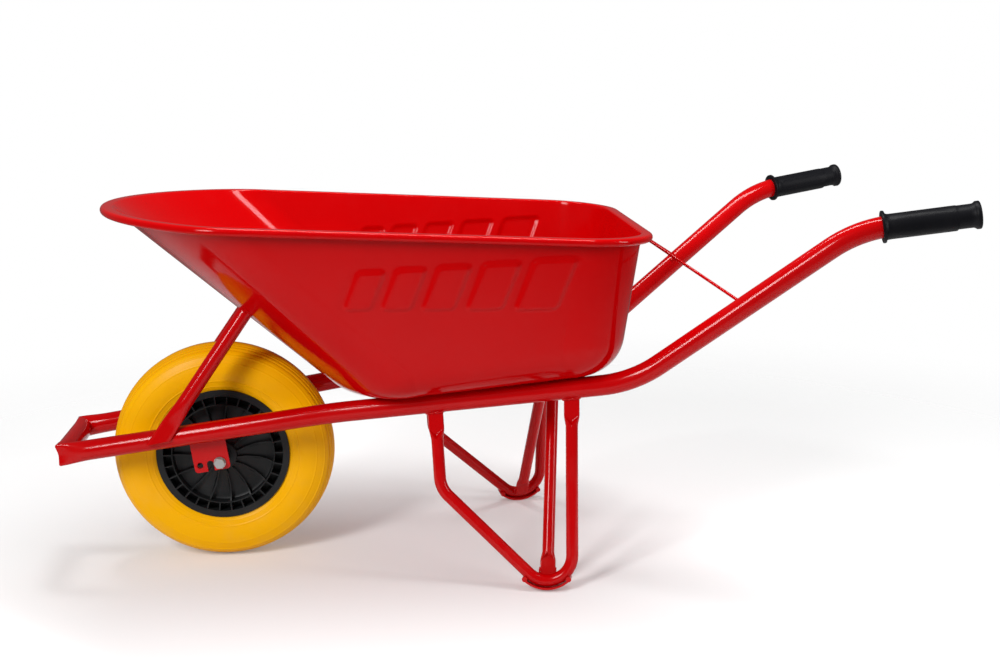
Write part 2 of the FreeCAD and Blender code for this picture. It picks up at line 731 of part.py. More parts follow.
def floor_wire(inset, front_extra, raised):
    flat = plan_outline(FLOOR_FRONT_X, FLOOR_SHOULDER_BACK, FLOOR_SHOULDER_R, FLOOR_HALF,
                        FLOOR_REAR_X, FLOOR_REAR_HALF, FLOOR_CORNER_R, inset, front_extra)
    return laid(flat, floor_slope(), floor_point(0, 0).z + raised)


def tray_block(wall):
    """The tray's form as a solid block, floor edges rounded, drawn in by a wall thickness."""
    front_extra = wall / math.sin(front_slope()) - wall
    floor = floor_wire(wall, front_extra, wall)
    mouth = mouth_wire(EDGE_WIDTH + wall, front_extra)
    block = Part.makeLoft([floor, mouth], True, True)
    bottom = min(block.Faces, key=lambda face: face.CenterOfMass.z)
    return block.makeFillet(FLOOR_EDGE_R - wall, bottom.Edges)


def rolled_edge():
    """The flat flange and its rolled bead, swept round the tray's mouth."""
    wall = mouth_wire(EDGE_WIDTH, 0)
    flat = EDGE_WIDTH - BEAD_R
    last = mouth_point(MOUTH_REAR_X - EDGE_WIDTH)
    start = Vector(last.x, 0, last.z)
    out = Vector(1, 0, MOUTH_SLOPE).normalize()
    up = mouth_normal()

    def at(outward, above):
        return start + out * outward + up * above

    def curl(radius, angle):
        turn = math.radians(angle)
        return at(flat + radius * math.cos(turn), -BEAD_R + radius * math.sin(turn))

    thin = BEAD_R - SHEET
    section = Part.Wire([
        line(at(-LIP_OVERLAP, 0), curl(BEAD_R, 90)),
        Part.Arc(curl(BEAD_R, 90), curl(BEAD_R, -45), curl(BEAD_R, -180)).toShape(),
        line(curl(BEAD_R, -180), curl(thin, -180)),
        Part.Arc(curl(thin, -180), curl(thin, -45), curl(thin, 90)).toShape(),
        line(curl(thin, 90), at(-LIP_OVERLAP, -SHEET)),
        line(at(-LIP_OVERLAP, -SHEET), at(-LIP_OVERLAP, 0))])
    sweep = Part.BRepOffsetAPI.MakePipeShell(wall)
    sweep.setBiNormalMode(up)
    sweep.add(section, False, False)
    sweep.build()
    sweep.makeSolid()
    return sweep.shape()


def tray_bolt_places():
    """The floor points of the tray's bolts."""
    return [floor_point(x, side * TRAY_BOLT_HALF) for x in (FRONT_BAR_X, REAR_BAR_X) for side in SIDES]


def make_tray():
    """The pressed sheet: the outer block less the inner one, its mouth opened, its edge rolled."""
    shell = tray_block(0).cut(tray_block(SHEET))
    lid = half_space(mouth_point(MOUTH_REAR_X / 2) - mouth_normal() * SHEET, mouth_normal(), 2000)
    tray = shell.cut(lid).fuse(rolled_edge())
    for place in tray_bolt_places():
        tray = tray.cut(cylinder(place, floor_normal(), TRAY_BOLT_HOLE_D / 2, 4 * SHEET))
    return tray


# ---------------------------------------------------------------- cross bars and tray bolts

def make_cross_bar(x):
    """A flat bar under the floor, let in between the rails."""
    centre = floor_point(x, 0) - floor_normal() * (BAR_T / 2)
    reach = along(FLARE, RISE, x + BAR_WIDTH / 2).y
    bar = Part.makeBox(BAR_WIDTH, 2 * reach, BAR_T, Vector(-BAR_WIDTH / 2, -reach, -BAR_T / 2))
    bar.Placement = FreeCAD.Placement(centre, FreeCAD.Rotation(UP, floor_normal()))
    bar = bar.cut(rail_body()).cut(mirrored(rail_body()))
    bar = max(bar.Solids, key=lambda solid: solid.Volume)
    for place in tray_bolt_places():
        bar = bar.cut(cylinder(place, floor_normal(), TRAY_BOLT_HOLE_D / 2, 4 * BAR_T))
    return bar


def make_tray_bolts():
    """Cup-head bolts through the tray's floor and the cross bars."""
    up = floor_normal()
    bolts = []
    grip = BAR_T + TRAY_WASHER_T + TRAY_NUT_H + TRAY_THREAD_OUT
    cup_r = (TRAY_HEAD_D ** 2 / 4 + TRAY_HEAD_H ** 2) / (2 * TRAY_HEAD_H)
    for place in tray_bolt_places():
        top = place + up * SHEET
        shank = Part.makeCylinder(TRAY_BOLT_D / 2, grip + SHEET, top, up * -1)
        cup = Part.makeSphere(cup_r, top + up * (TRAY_HEAD_H - cup_r))
        cup = cup.common(Part.makeCylinder(TRAY_HEAD_D / 2, TRAY_HEAD_H + 1, top, up))
        bolts.append(cup.fuse(shank))
    return Part.makeCompound(bolts)


def make_tray_washers():
    up = floor_normal()
    washers = [ring(place - up * (BAR_T + TRAY_WASHER_T / 2), up, TRAY_WASHER_OD / 2,
                    TRAY_BOLT_HOLE_D / 2, TRAY_WASHER_T) for place in tray_bolt_places()]
    return Part.makeCompound(washers)


def make_tray_nuts():
    up = floor_normal()
    nuts = []
    for place in tray_bolt_places():
        centre = place - up * (BAR_T + TRAY_WASHER_T + TRAY_NUT_H / 2)
        nut = hexagon(centre, up * -1, TRAY_NUT_AF, TRAY_NUT_H)
        nuts.append(nut.cut(cylinder(centre, up, TRAY_BOLT_D / 2, TRAY_NUT_H + 2)))
    return Part.makeCompound(nuts)


# ---------------------------------------------------------------- front struts

def make_front_strut():
    """A tube from the outside of the rail up to the tray's front slope."""
    rail = along(NOSE, FLARE, STRUT_FOOT_X)
    foot = rail + ACROSS * (RAIL_R + STRUT_FLAT_T / 2 - STRUT_BITE)
    heading = (foot - STRUT_AIM).normalize()
    start = foot - heading * (STRUT_FLAT_LENGTH / 2 + STRUT_BLEND)
    wide = heading.cross(ACROSS).normalize()
    radius = STRUT_OD / 2
    strut = tube(Part.Wire([line(STRUT_AIM, start)]), radius, STRUT_WALL)
    strut = strut.fuse(flattened_end(start, heading, wide, radius, STRUT_BLEND, STRUT_FLAT_LENGTH,
                                     STRUT_FLAT_WIDTH, STRUT_FLAT_T))
    below = half_space(rail, ACROSS.cross(FLARE - NOSE))
    strut = strut.cut(rail_body()).cut(below).cut(tray_block(0))
    return max(strut.Solids, key=lambda solid: solid.Volume)


# ---------------------------------------------------------------- rear stay

def make_rear_stay():
    """One rod bent to a V, welded on both rails and under the middle of the rear bead."""
    bead = mouth_point(MOUTH_REAR_X - BEAD_R)
    touch = bead - mouth_normal() * (2 * BEAD_R + STAY_D / 2)
    handle = (SHOULDER - RISE).normalize()
    rail = along(RISE, SHOULDER, STAY_RAIL_X)
    inwards = touch - rail
    inwards = (inwards - handle * inwards.dot(handle)).normalize()
    right = rail + inwards * (RAIL_R + STAY_D / 2 - STAY_BITE)
    left = Vector(right.x, -right.y, right.z)
    back = ((left + right) * 0.5 - touch).normalize()
    half = back.getAngle(right - touch)
    corner = touch - back * (STAY_BEND_R / math.sin(half) - STAY_BEND_R)
    stay = rod(bent_path([left, corner, right], (STAY_BEND_R,)), STAY_D / 2)
    return stay.cut(rail_body()).cut(mirrored(rail_body()))


# ---------------------------------------------------------------- all pieces

def make_parts():
    parts = {"tray": make_tray(), "nose_tube": make_nose_tube(), "tyre": make_tyre(),
             "axle_tube": make_axle_tube(), "axle_bolt": make_axle_bolt(), "axle_nut": make_axle_nut(),
             "axle_washers": make_axle_washers(), "cross_bar_front": make_cross_bar(FRONT_BAR_X),
             "cross_bar_rear": make_cross_bar(REAR_BAR_X), "tray_bolts": make_tray_bolts(),
             "tray_washers": make_tray_washers(), "tray_nuts": make_tray_nuts(),
             "rear_stay": make_rear_stay()}
    makers = {"rail": make_rail, "grip": make_grip, "rim_half": make_rim_half, "hub_bush": make_hub_bush,
              "axle_spacer": make_axle_spacer, "axle_bracket": make_axle_bracket, "leg": make_leg,
              "foot_shoe": make_foot_shoe, "leg_brace": make_leg_brace, "front_strut": make_front_strut}
    for name, maker in makers.items():
        right = maker()
        parts[name + "_right"] = right
        parts[name + "_left"] = mirrored(right)
    return parts


def main():
    parts = make_parts()
    box = Part.makeCompound(list(parts.values())).optimalBoundingBox(False, False)
    middle = Vector(-(box.XMin + box.XMax) / 2, 0, 0)
    os.makedirs("parts", exist_ok=True)
    for name, shape in parts.items():
        shape.translate(middle)
        shape.exportStep("parts/" + name + ".step")
    print("axle at x", round(middle.x, 3), "size", round(box.XLength, 2), round(box.YLength, 2),
          round(box.ZLength, 2), "lowest", round(box.ZMin, 4))
    for name, shape in sorted(parts.items()):
        print(name, shape.isValid(), len(shape.Solids), round(shape.Volume))


main()
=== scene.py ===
import json
import math

import bmesh
import bpy
from mathutils import Matrix, Vector
from mathutils.bvhtree import BVHTree


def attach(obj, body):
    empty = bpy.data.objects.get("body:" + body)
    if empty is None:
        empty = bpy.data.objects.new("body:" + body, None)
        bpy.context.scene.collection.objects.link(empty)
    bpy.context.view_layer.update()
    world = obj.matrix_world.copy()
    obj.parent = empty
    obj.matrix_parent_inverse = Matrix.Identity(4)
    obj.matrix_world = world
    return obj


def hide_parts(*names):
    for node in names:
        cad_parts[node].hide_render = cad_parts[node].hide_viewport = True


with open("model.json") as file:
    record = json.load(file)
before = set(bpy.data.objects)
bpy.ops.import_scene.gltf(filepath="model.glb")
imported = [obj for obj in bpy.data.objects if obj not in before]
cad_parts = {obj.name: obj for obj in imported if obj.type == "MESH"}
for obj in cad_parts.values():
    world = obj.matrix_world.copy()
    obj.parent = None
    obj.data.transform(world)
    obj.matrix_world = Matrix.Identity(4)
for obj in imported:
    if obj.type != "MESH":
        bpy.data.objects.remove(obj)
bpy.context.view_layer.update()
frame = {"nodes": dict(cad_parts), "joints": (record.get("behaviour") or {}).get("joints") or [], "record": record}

AXLE = Vector(frame["joints"][0]["pos_m"])
MM = 0.001


def place(x, y, z):
    """A point in metres from millimetres behind the axle, to the right, and above the ground."""
    return Vector((AXLE.x + x * MM, y * MM, z * MM))


# ---------------------------------------------------------------- shader node groups

def new_group(name, inputs, outputs):
    """A shader node group with named float inputs and outputs of the given kinds."""
    group = bpy.data.node_groups.new(name, "ShaderNodeTree")
    for label, default in inputs:
        socket = group.interface.new_socket(label, in_out="INPUT", socket_type="NodeSocketFloat")
        socket.default_value = default
    for label, kind in outputs:
        group.interface.new_socket(label, in_out="OUTPUT", socket_type=kind)
    return group, group.nodes.new("NodeGroupInput"), group.nodes.new("NodeGroupOutput")


def add(tree, kind, **values):
    """A node with its attributes or socket values set; spaces in a socket's name are given as _."""
    node = tree.nodes.new(kind)
    for key, value in values.items():
        label = key.replace("_", " ")
        if label in node.inputs:
            node.inputs[label].default_value = value
        else:
            setattr(node, key, value)
    return node


def make_coat_group():
    """The slow ripple and fine grain of a sprayed or moulded surface, and a slow drift in its tone."""
    group, given, result = new_group(
        "CoatRelief",
        [("Ripple Scale", 60.0), ("Ripple Height", 0.1), ("Grain Scale", 900.0), ("Grain Height", 0.02)],
        [("Normal", "NodeSocketVector"), ("Drift", "NodeSocketFloat")])
    links = group.links
    where = group.nodes.new("ShaderNodeTexCoord").outputs["Object"]
    ripple = add(group, "ShaderNodeTexNoise", Detail=1.0)
    grain = add(group, "ShaderNodeTexNoise", Detail=2.0)
    drift = add(group, "ShaderNodeTexNoise", Scale=7.0, Detail=3.0)
    for node in (ripple, grain, drift):
        links.new(where, node.inputs["Vector"])
    links.new(given.outputs["Ripple Scale"], ripple.inputs["Scale"])
    links.new(given.outputs["Grain Scale"], grain.inputs["Scale"])
    low = add(group, "ShaderNodeBump", Distance=0.0008)
    fine = add(group, "ShaderNodeBump", Distance=0.0002)
    links.new(ripple.outputs["Fac"], low.inputs["Height"])
    links.new(given.outputs["Ripple Height"], low.inputs["Strength"])
    links.new(grain.outputs["Fac"], fine.inputs["Height"])
    links.new(given.outputs["Grain Height"], fine.inputs["Strength"])
    links.new(low.outputs["Normal"], fine.inputs["Normal"])
    links.new(fine.outputs["Normal"], result.inputs["Normal"])
    links.new(drift.outputs["Fac"], result.inputs["Drift"])
    return group


def make_dust_group():
    """A mask of the thin dust that settles in patches, more of it low on the object."""
    group, given, result = new_group(
        "Dust", [("Amount", 0.2), ("Scale", 18.0)], [("Mask", "NodeSocketFloat")])
    links = group.links
    where = group.nodes.new("ShaderNodeTexCoord").outputs["Object"]
    speckle = add(group, "ShaderNodeTexNoise", Detail=6.0, Roughness=0.65)
    links.new(where, speckle.inputs["Vector"])
    links.new(given.outputs["Scale"], speckle.inputs["Scale"])
    height = add(group, "ShaderNodeSeparateXYZ")
    links.new(where, height.inputs["Vector"])
    low = add(group, "ShaderNodeMapRange", From_Min=0.0, From_Max=0.28, To_Min=1.0, To_Max=0.15)
    links.new(height.outputs["Z"], low.inputs["Value"])
    patches = add(group, "ShaderNodeMapRange", From_Min=0.48, From_Max=0.72, To_Min=0.0, To_Max=1.0)
    links.new(speckle.outputs["Fac"], patches.inputs["Value"])
    both = add(group, "ShaderNodeMath", operation="MULTIPLY")
    links.new(low.outputs["Result"], both.inputs[0])
    links.new(patches.outputs["Result"], both.inputs[1])
    scaled = add(group, "ShaderNodeMath", operation="MULTIPLY")
    links.new(both.outputs["Value"], scaled.inputs[0])
    links.new(given.outputs["Amount"], scaled.inputs[1])
    links.new(scaled.outputs["Value"], result.inputs["Mask"])
    return group


COAT = make_coat_group()
DUST = make_dust_group()
DUST_TONE = (0.42, 0.39, 0.35, 1.0)


# ---------------------------------------------------------------- materials

def surface(name, tones, gloss, relief, dust=0.1, metallic=0.0, specular=0.3):
    """A material whose tone and gloss drift over the surface, under a little dust.

    tones are two colours, gloss the two roughnesses, and relief the inputs of the coat's group.
    """
    material = bpy.data.materials.new(name)
    material.use_nodes = True
    tree = material.node_tree
    shader = tree.nodes["Principled BSDF"]
    shader.inputs["Metallic"].default_value = metallic
    shader.inputs["Specular IOR Level"].default_value = specular
    coating = tree.nodes.new("ShaderNodeGroup")
    coating.node_tree = COAT
    for label, value in zip(("Ripple Scale", "Ripple Height", "Grain Scale", "Grain Height"), relief):
        coating.inputs[label].default_value = value
    dusting = tree.nodes.new("ShaderNodeGroup")
    dusting.node_tree = DUST
    dusting.inputs["Amount"].default_value = dust
    tone = add(tree, "ShaderNodeMix", data_type="RGBA")
    tone.inputs["A"].default_value = (*tones[0], 1.0)
    tone.inputs["B"].default_value = (*tones[1], 1.0)
    dusted = add(tree, "ShaderNodeMix", data_type="RGBA")
    dusted.inputs["B"].default_value = DUST_TONE
    rough = add(tree, "ShaderNodeMapRange", To_Min=gloss[0], To_Max=gloss[1])
    duller = add(tree, "ShaderNodeMath", operation="ADD")
    links = tree.links
    links.new(coating.outputs["Drift"], tone.inputs["Factor"])
    links.new(tone.outputs["Result"], dusted.inputs["A"])
    links.new(dusting.outputs["Mask"], dusted.inputs["Factor"])
    links.new(dusted.outputs["Result"], shader.inputs["Base Color"])
    links.new(coating.outputs["Drift"], rough.inputs["Value"])
    links.new(rough.outputs["Result"], duller.inputs[0])
    links.new(dusting.outputs["Mask"], duller.inputs[1])
    links.new(duller.outputs["Value"], shader.inputs["Roughness"])
    links.new(coating.outputs["Normal"], shader.inputs["Normal"])
    return material


RED_SHEET = surface("red_powder_coat_sheet", ((0.48, 0.0, 0.0006), (0.54, 0.0, 0.0010)), (0.07, 0.12),
                    (20.0, 0.010, 500.0, 0.0), dust=0.02, specular=0.15)
RED_TUBE = surface("red_powder_coat_tube", ((0.46, 0.0, 0.0008), (0.53, 0.0, 0.0012)), (0.10, 0.16),
                   (40.0, 0.008, 500.0, 0.0), dust=0.03, specular=0.22)
YELLOW = surface("yellow_foamed_tyre", ((0.88, 0.40, 0.0), (0.96, 0.49, 0.0)), (0.26, 0.36),
                 (26.0, 0.08, 1200.0, 0.04), dust=0.06, specular=0.10)
BLACK_PLASTIC = surface("black_wheel_plastic", ((0.006, 0.007, 0.008), (0.011, 0.012, 0.013)), (0.38, 0.50),
                        (40.0, 0.05, 1800.0, 0.12), dust=0.04, specular=0.30)
BLACK_RUBBER = surface("black_grip_rubber", ((0.0035, 0.0035, 0.005), (0.006, 0.006, 0.008)), (0.38, 0.50),
                       (60.0, 0.05, 1500.0, 0.18), dust=0.02, specular=0.12)
BLACK_NYLON = surface("black_bush_nylon", ((0.010, 0.010, 0.011), (0.015, 0.015, 0.017)), (0.4, 0.5),
                      (60.0, 0.05, 1500.0, 0.1), dust=0.04, specular=0.25)
ZINC = surface("zinc_plate", ((0.42, 0.43, 0.42), (0.56, 0.56, 0.54)), (0.24, 0.38),
               (220.0, 0.06, 2500.0, 0.08), dust=0.05, metallic=1.0)

SLOT_FINISH = {"red_sheet": RED_SHEET, "red_frame": RED_TUBE, "yellow_tyre": YELLOW,
               "black_plastic": BLACK_PLASTIC, "black_rubber": BLACK_RUBBER,
               "black_nylon": BLACK_NYLON, "zinc": ZINC}


def dress_frame():
    """Gives every CAD node the finish of its slot in the record."""
    for subpart in frame["record"]["subparts"]:
        node = frame["nodes"][subpart["node"]]
        node.data.materials.clear()
        node.data.materials.append(SLOT_FINISH[subpart["material_slot"]])


# ---------------------------------------------------------------- mesh helpers

def piece(name, verts, faces, material, sharp=40.0):
    """A mesh object with its faces turned outwards, smooth except across sharp edges."""
    mesh = bpy.data.meshes.new(name)
    mesh.from_pydata([tuple(v) for v in verts], [], faces)
    work = bmesh.new()
    work.from_mesh(mesh)
    bmesh.ops.remove_doubles(work, verts=work.verts, dist=1e-7)
    bmesh.ops.recalc_face_normals(work, faces=work.faces)
    work.to_mesh(mesh)
    work.free()
    mesh.materials.append(material)
    mesh.shade_smooth()
    mesh.set_sharp_from_angle(angle=math.radians(sharp))
    obj = bpy.data.objects.new(name, mesh)
    bpy.context.scene.collection.objects.link(obj)
    return obj


def install(obj, body, slot, *nodes):
    """Puts a finished piece on its body, in the place of CAD nodes; its slot argument is not used."""
    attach(obj, body)
    if nodes:
        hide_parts(*nodes)


def skin(rings, closed=False, capped=True):
    """Faces between rings of equal length; a closed skin joins its last ring to its first."""
    count = len(rings[0])
    verts = [v for ring in rings for v in ring]
    faces = []
    last = len(rings) if closed else len(rings) - 1
    for i in range(last):
        a, b = i * count, (i + 1) % len(rings) * count
        faces += [(a + j, a + (j + 1) % count, b + (j + 1) % count, b + j) for j in range(count)]
    if capped and not closed:
        faces.append(tuple(reversed(range(count))))
        faces.append(tuple(range(len(verts) - count, len(verts))))
    return verts, faces


def turned(profile, segments, side=1):
    """A closed profile of (radius, y) in mm turned about the axle."""
    rings = []
    for k in range(segments):
        turn = 2 * math.pi * k / segments
        c, s = math.cos(turn), math.sin(turn)
        rings.append([AXLE + Vector((r * c, side * y, r * s)) * MM for r, y in profile])
    return skin(rings, closed=True)


def bent_path(points, radii, step):
    """Points along straight runs and tangent arcs; arcs are divided by the step in mm."""
    path = [points[0]]
    for before, corner, after, radius in zip(points, points[1:], points[2:], radii):
        a = (before - corner).normalized()
        b = (after - corner).normalized()
        half = a.angle(b) / 2
        run = radius * MM / math.tan(half)
        centre = corner + (a + b).normalized() * (radius * MM / math.sin(half))
        first, last = corner + a * run, corner + b * run
        sweep = math.pi - 2 * half
        pieces = max(4, int(radius * MM * sweep / step))
        normal = (first - centre).cross(last - centre).normalized()
        for k in range(pieces + 1):
            path.append(centre + Matrix.Rotation(sweep * k / pieces, 3, normal) @ (first - centre))
    path.append(points[-1])
    return path


def headings(path):
    """The direction at each point of a path."""
    ways = []
    for k in range(len(path)):
        ahead = path[min(k + 1, len(path) - 1)] - path[k]
        behind = path[k] - path[max(k - 1, 0)]
        ways.append((ahead.normalized() + behind.normalized()).normalized())
    return ways


def smooth(t):
    """A share from 0 to 1 that starts and ends level."""
    t = min(1.0, max(0.0, t))
    return t * t * (3 - 2 * t)


def metres(points):
    """The places of points given in millimetres from the axle."""
    return [place(*p) for p in points]


def flip(points):
    """The points' mirror images on the other side of the barrow."""
    return [Vector((p.x, -p.y, p.z)) for p in points]


def on_side(rings, side):
    """Rings made for the right side, as they are or mirrored to the left."""
    return rings if side > 0 else [flip(ring) for ring in rings]


def side_name(side):
    """The word that ends the name of a piece on this side."""
    return "right" if side > 0 else "left"


def along(start, end, x):
    """The point of a line at a distance behind the axle."""
    return start + (end - start) * ((x - start.x) / (end.x - start.x))


# ---------------------------------------------------------------- tray

SHEET = 1.2
# Plans: front x, shoulder back and radius, half width, rear x, rear half width, corner radius.
MOUTH = (-182.0, 241.8, 170.0, 298.0, 711.5, 290.0, 130.0)
FLOOR = (207.0, 143.9, 110.0, 205.0, 663.0, 243.0, 80.0)
MOUTH_Z = 608.95
MOUTH_SLOPE = -0.0484
EDGE_WIDTH = 17.5
BEAD_R = 6.0
FLOOR_EDGE_R = 70.0
PLAN_COUNTS = (26, 26, 130, 20, 14)
CURL_STEPS = 14
CORNER_STEPS = 4
FOOT_STEPS = 12
FLOOR_MIDDLE = (300, 580)
# The frame's tube, and the corners of its right rail.
RAIL_R = 16.85
NOSE = Vector((-256.0, 84.6, 209.7))
FLARE = Vector((192.6, 119.6, 276.9))
RISE = Vector((675.8, 204.5, 336.9))
SHOULDER = Vector((1001.9, 298.5, 589.4))
END = Vector((1172.5, 336.0, 614.6))
FLOOR_SLOPE = (RISE.z - FLARE.z) / (RISE.x - FLARE.x)
FLOOR_UP = Vector((-FLOOR_SLOPE, 0, 1)).normalized()
MOUTH_UP = Vector((-MOUTH_SLOPE, 0, 1)).normalized()
FRONT_WAY = (FLARE - NOSE).normalized()
# The pads pressed in the sides: place from the panel's middle, half length, half height.
PANEL_MIDDLE = Vector((402.0, 0, 506.0))
PANEL_SLOPE = 0.02
PADS = ((-152.0, 24.0, 34.0), (-92.0, 26.0, 36.0), (-27.0, 28.0, 38.0), (45.0, 31.0, 40.0),
        (126.0, 36.0, 43.0))
PAD_CORNER = 11.0
PAD_SLANT = 0.38
PAD_RISE = 3.8
PAD_EDGE = 7


def plan_half(plan, inset):
    """Half an outline: places with the angle of their outward side, from front to rear."""
    counts = PLAN_COUNTS
    front_x, back, shoulder_r, half, rear_x, rear_half, corner_r = plan
    shoulder_y = half - shoulder_r
    front_r = (back ** 2 + shoulder_y ** 2 - shoulder_r ** 2) / (2 * (back - shoulder_r))
    middle = Vector((front_x + front_r, 0))
    shoulder = Vector((front_x + back, shoulder_y))
    corner = Vector((rear_x - corner_r, rear_half - corner_r))
    between = corner - shoulder
    joint = math.atan2(shoulder.y, shoulder.x - middle.x)
    turn = math.atan2(between.y, between.x) + math.acos((shoulder_r - corner_r) / between.length)

    def on(centre, radius, angle):
        return centre + Vector((math.cos(angle), math.sin(angle))) * (radius - inset)

    places = []
    for centre, radius, first, last, count in ((middle, front_r, math.pi, joint, counts[0]),
                                               (shoulder, shoulder_r, joint, turn, counts[1])):
        for k in range(count):
            angle = first + (last - first) * k / count
            places.append((on(centre, radius, angle), angle))
    start, end = on(shoulder, shoulder_r, turn), on(corner, corner_r, turn)
    places += [(start.lerp(end, k / counts[2]), turn) for k in range(counts[2])]
    for k in range(counts[3]):
        angle = turn * (1 - k / counts[3])
        places.append((on(corner, corner_r, angle), angle))
    start = on(corner, corner_r, 0)
    places += [(start.lerp(Vector((start.x, 0)), k / counts[4]), 0.0) for k in range(counts[4] + 1)]
    return places


def plan_loop(plan, inset):
    """The whole outline, right half and its mirror image."""
    half = plan_half(plan, inset)
    other = [(Vector((p.x, -p.y)), -angle) for p, angle in reversed(half[1:-1])]
    return half + other


def laid(flat, slope, height):
    """A plan direction or place, tilted to its slope and lifted to its height at the axle."""
    tilt = math.atan(slope)
    return Vector((flat.x * math.cos(tilt), flat.y, flat.x * math.sin(tilt) + height))


def panel_rise(x, z):
    """Height of the row of slanted pads pressed in the tray's sides."""
    rise = 0.0
    for middle, half_x, half_z in PADS:
        dz = z - PANEL_MIDDLE.z - PANEL_SLOPE * (x - PANEL_MIDDLE.x)
        dx = x - PANEL_MIDDLE.x - middle - PAD_SLANT * dz
        qx, qz = abs(dx) - half_x + PAD_CORNER, abs(dz) - half_z + PAD_CORNER
        depth = PAD_CORNER - math.hypot(max(qx, 0), max(qz, 0)) - min(max(qx, qz), 0)
        rise += PAD_RISE * smooth(depth / PAD_EDGE)
    return rise


def wall_steps():
    """Shares of the wall's height, closest where the panel is."""
    steps = [0.03 * k for k in range(1, 4)]
    steps += [0.09 + 0.56 * k / 46 for k in range(1, 47)]
    return steps + [0.65 + 0.35 * k / 14 for k in range(1, 15)]


def curled_edge(top, out, flat, bead):
    """Points round the rolled edge, from its inner side under and out to its top."""
    turns = [math.radians(-180 + 270 * k / CURL_STEPS) for k in range(CURL_STEPS + 1)]
    return [top + out * (flat + bead * math.cos(turn)) + MOUTH_UP * (-BEAD_R + bead * math.sin(turn))
            for turn in turns]


def rounded(first, corner, last):
    """Points of a curve that rounds a corner between two points."""
    shares = [k / CORNER_STEPS for k in range(CORNER_STEPS + 1)]
    return [first * (1 - t) ** 2 + corner * (2 * t * (1 - t)) + last * t ** 2 for t in shares]


def foot_arc(centre, inwards, radius):
    """Points of the arc between the wall and the floor, after its first."""
    arc = inwards.angle(FLOOR_UP)
    points = []
    for k in range(1, FOOT_STEPS + 1):
        t = k / FOOT_STEPS
        way = (inwards * math.sin((1 - t) * arc) + FLOOR_UP * math.sin(t * arc)) / math.sin(arc)
        points.append(centre - way * radius)
    return points


def tray_rows():
    """Matching rows of the sheet's upper and under faces, from the curled edge to the floor."""
    mouth = plan_loop(MOUTH, EDGE_WIDTH)
    floor = plan_loop(FLOOR, 0)
    foot_height = (FLARE + FLOOR_UP * RAIL_R).z - (FLARE + FLOOR_UP * RAIL_R).x * FLOOR_SLOPE
    flat = EDGE_WIDTH - BEAD_R
    upper, under = [], []
    for (top, top_turn), (foot, foot_turn) in zip(mouth, floor):
        out = laid(Vector((math.cos(top_turn), math.sin(top_turn))), MOUTH_SLOPE, 0)
        along_top = laid(Vector((-math.sin(top_turn), math.cos(top_turn))), MOUTH_SLOPE, 0)
        along_foot = laid(Vector((-math.sin(foot_turn), math.cos(foot_turn))), FLOOR_SLOPE, 0)
        top = laid(top, MOUTH_SLOPE, MOUTH_Z)
        foot = laid(foot, FLOOR_SLOPE, foot_height)
        ruling = (foot - top).normalized()
        in_top = ruling.cross(along_top).normalized()
        in_foot = ruling.cross(along_foot).normalized()
        if in_top.dot(out) > 0:
            in_top, in_foot = -in_top, -in_foot
        centre = foot + (in_foot + FLOOR_UP) * (FLOOR_EDGE_R / (1 + in_foot.dot(FLOOR_UP)))
        lean = (out * -1).angle(ruling)
        for rows, skin_in, bead in ((upper, SHEET, BEAD_R), (under, 0.0, BEAD_R - SHEET)):
            drop = 0.0 if skin_in else SHEET
            column = curled_edge(top, out, flat, bead)
            corner = top - out * (skin_in / math.sin(lean)) - MOUTH_UP * drop
            reach = 3.0 if skin_in else 4.0
            first, last = corner + out * reach, corner + ruling * reach
            column.append(top + out * (flat * 0.6) - MOUTH_UP * drop)
            column += rounded(first, corner, last)
            radius = FLOOR_EDGE_R - skin_in
            tangent = centre - in_foot * radius
            for share in wall_steps():
                point = last.lerp(tangent, share)
                push = panel_rise(point.x, point.z) if abs(in_foot.y) > 0.9 else 0.0
                column.append(point - in_top.lerp(in_foot, share) * push)
            column += foot_arc(centre, in_foot, radius)
            edge = column[-1]
            middle = Vector((min(max(edge.x, FLOOR_MIDDLE[0]), FLOOR_MIDDLE[1]), 0, 0))
            middle.z = edge.z + (middle.x - edge.x) * FLOOR_SLOPE
            column += [edge.lerp(middle, share) for share in (0.15, 0.4, 0.7)]
            rows.append([place(*point) for point in column])
    return list(zip(*upper)), list(zip(*under))


def make_tray():
    """The whole tray in one closed sheet."""
    upper, under = tray_rows()
    rings = [list(row) for row in reversed(upper)] + [list(row) for row in under]
    verts, faces = skin(rings)
    tray = piece("tray_shell", verts, faces, RED_SHEET, 35)
    install(tray, "root", "red_sheet", "tray")
    return tray


# ---------------------------------------------------------------- frame tube

TUBE_SIDES = 48
RAIL_BENDS = (600, 189, 191)
FRAME_UP = (FLARE - NOSE).cross(Vector((0, 1, 0))).normalized()
# The folded corner's section: degrees from outwards, then outwards and up in tube radii.
CORNER = ((0, 0.50, 0.0), (25, 0.56, 0.45), (50, 0.66, 0.88), (70, 0.60, 1.10), (90, 0.25, 1.13),
          (120, -0.45, 0.95), (150, -1.0, 0.55), (180, -1.15, 0.0))
# Along a tube from the corner: distance in mm, weight of that section, share of the mitre.
CRUSH = ((0, 1.0, 1.0), (3, 0.98, 0.8), (6, 0.92, 0.6), (9, 0.84, 0.44), (12, 0.75, 0.3), (16, 0.62, 0.18),
         (20, 0.48, 0.1), (25, 0.34, 0.04), (30, 0.22, 0.0), (37, 0.09, 0.0), (44, 0.0, 0.0))


def corner_place(turn):
    """A point of the folded corner's section, outwards and up in tube radii."""
    degrees = abs(math.degrees(turn))
    for (a, u0, v0), (b, u1, v1) in zip(CORNER, CORNER[1:]):
        if degrees <= b:
            t = (degrees - a) / (b - a)
            return u0 + (u1 - u0) * t, math.copysign(v0 + (v1 - v0) * t, turn)
    return CORNER[-1][1], 0.0


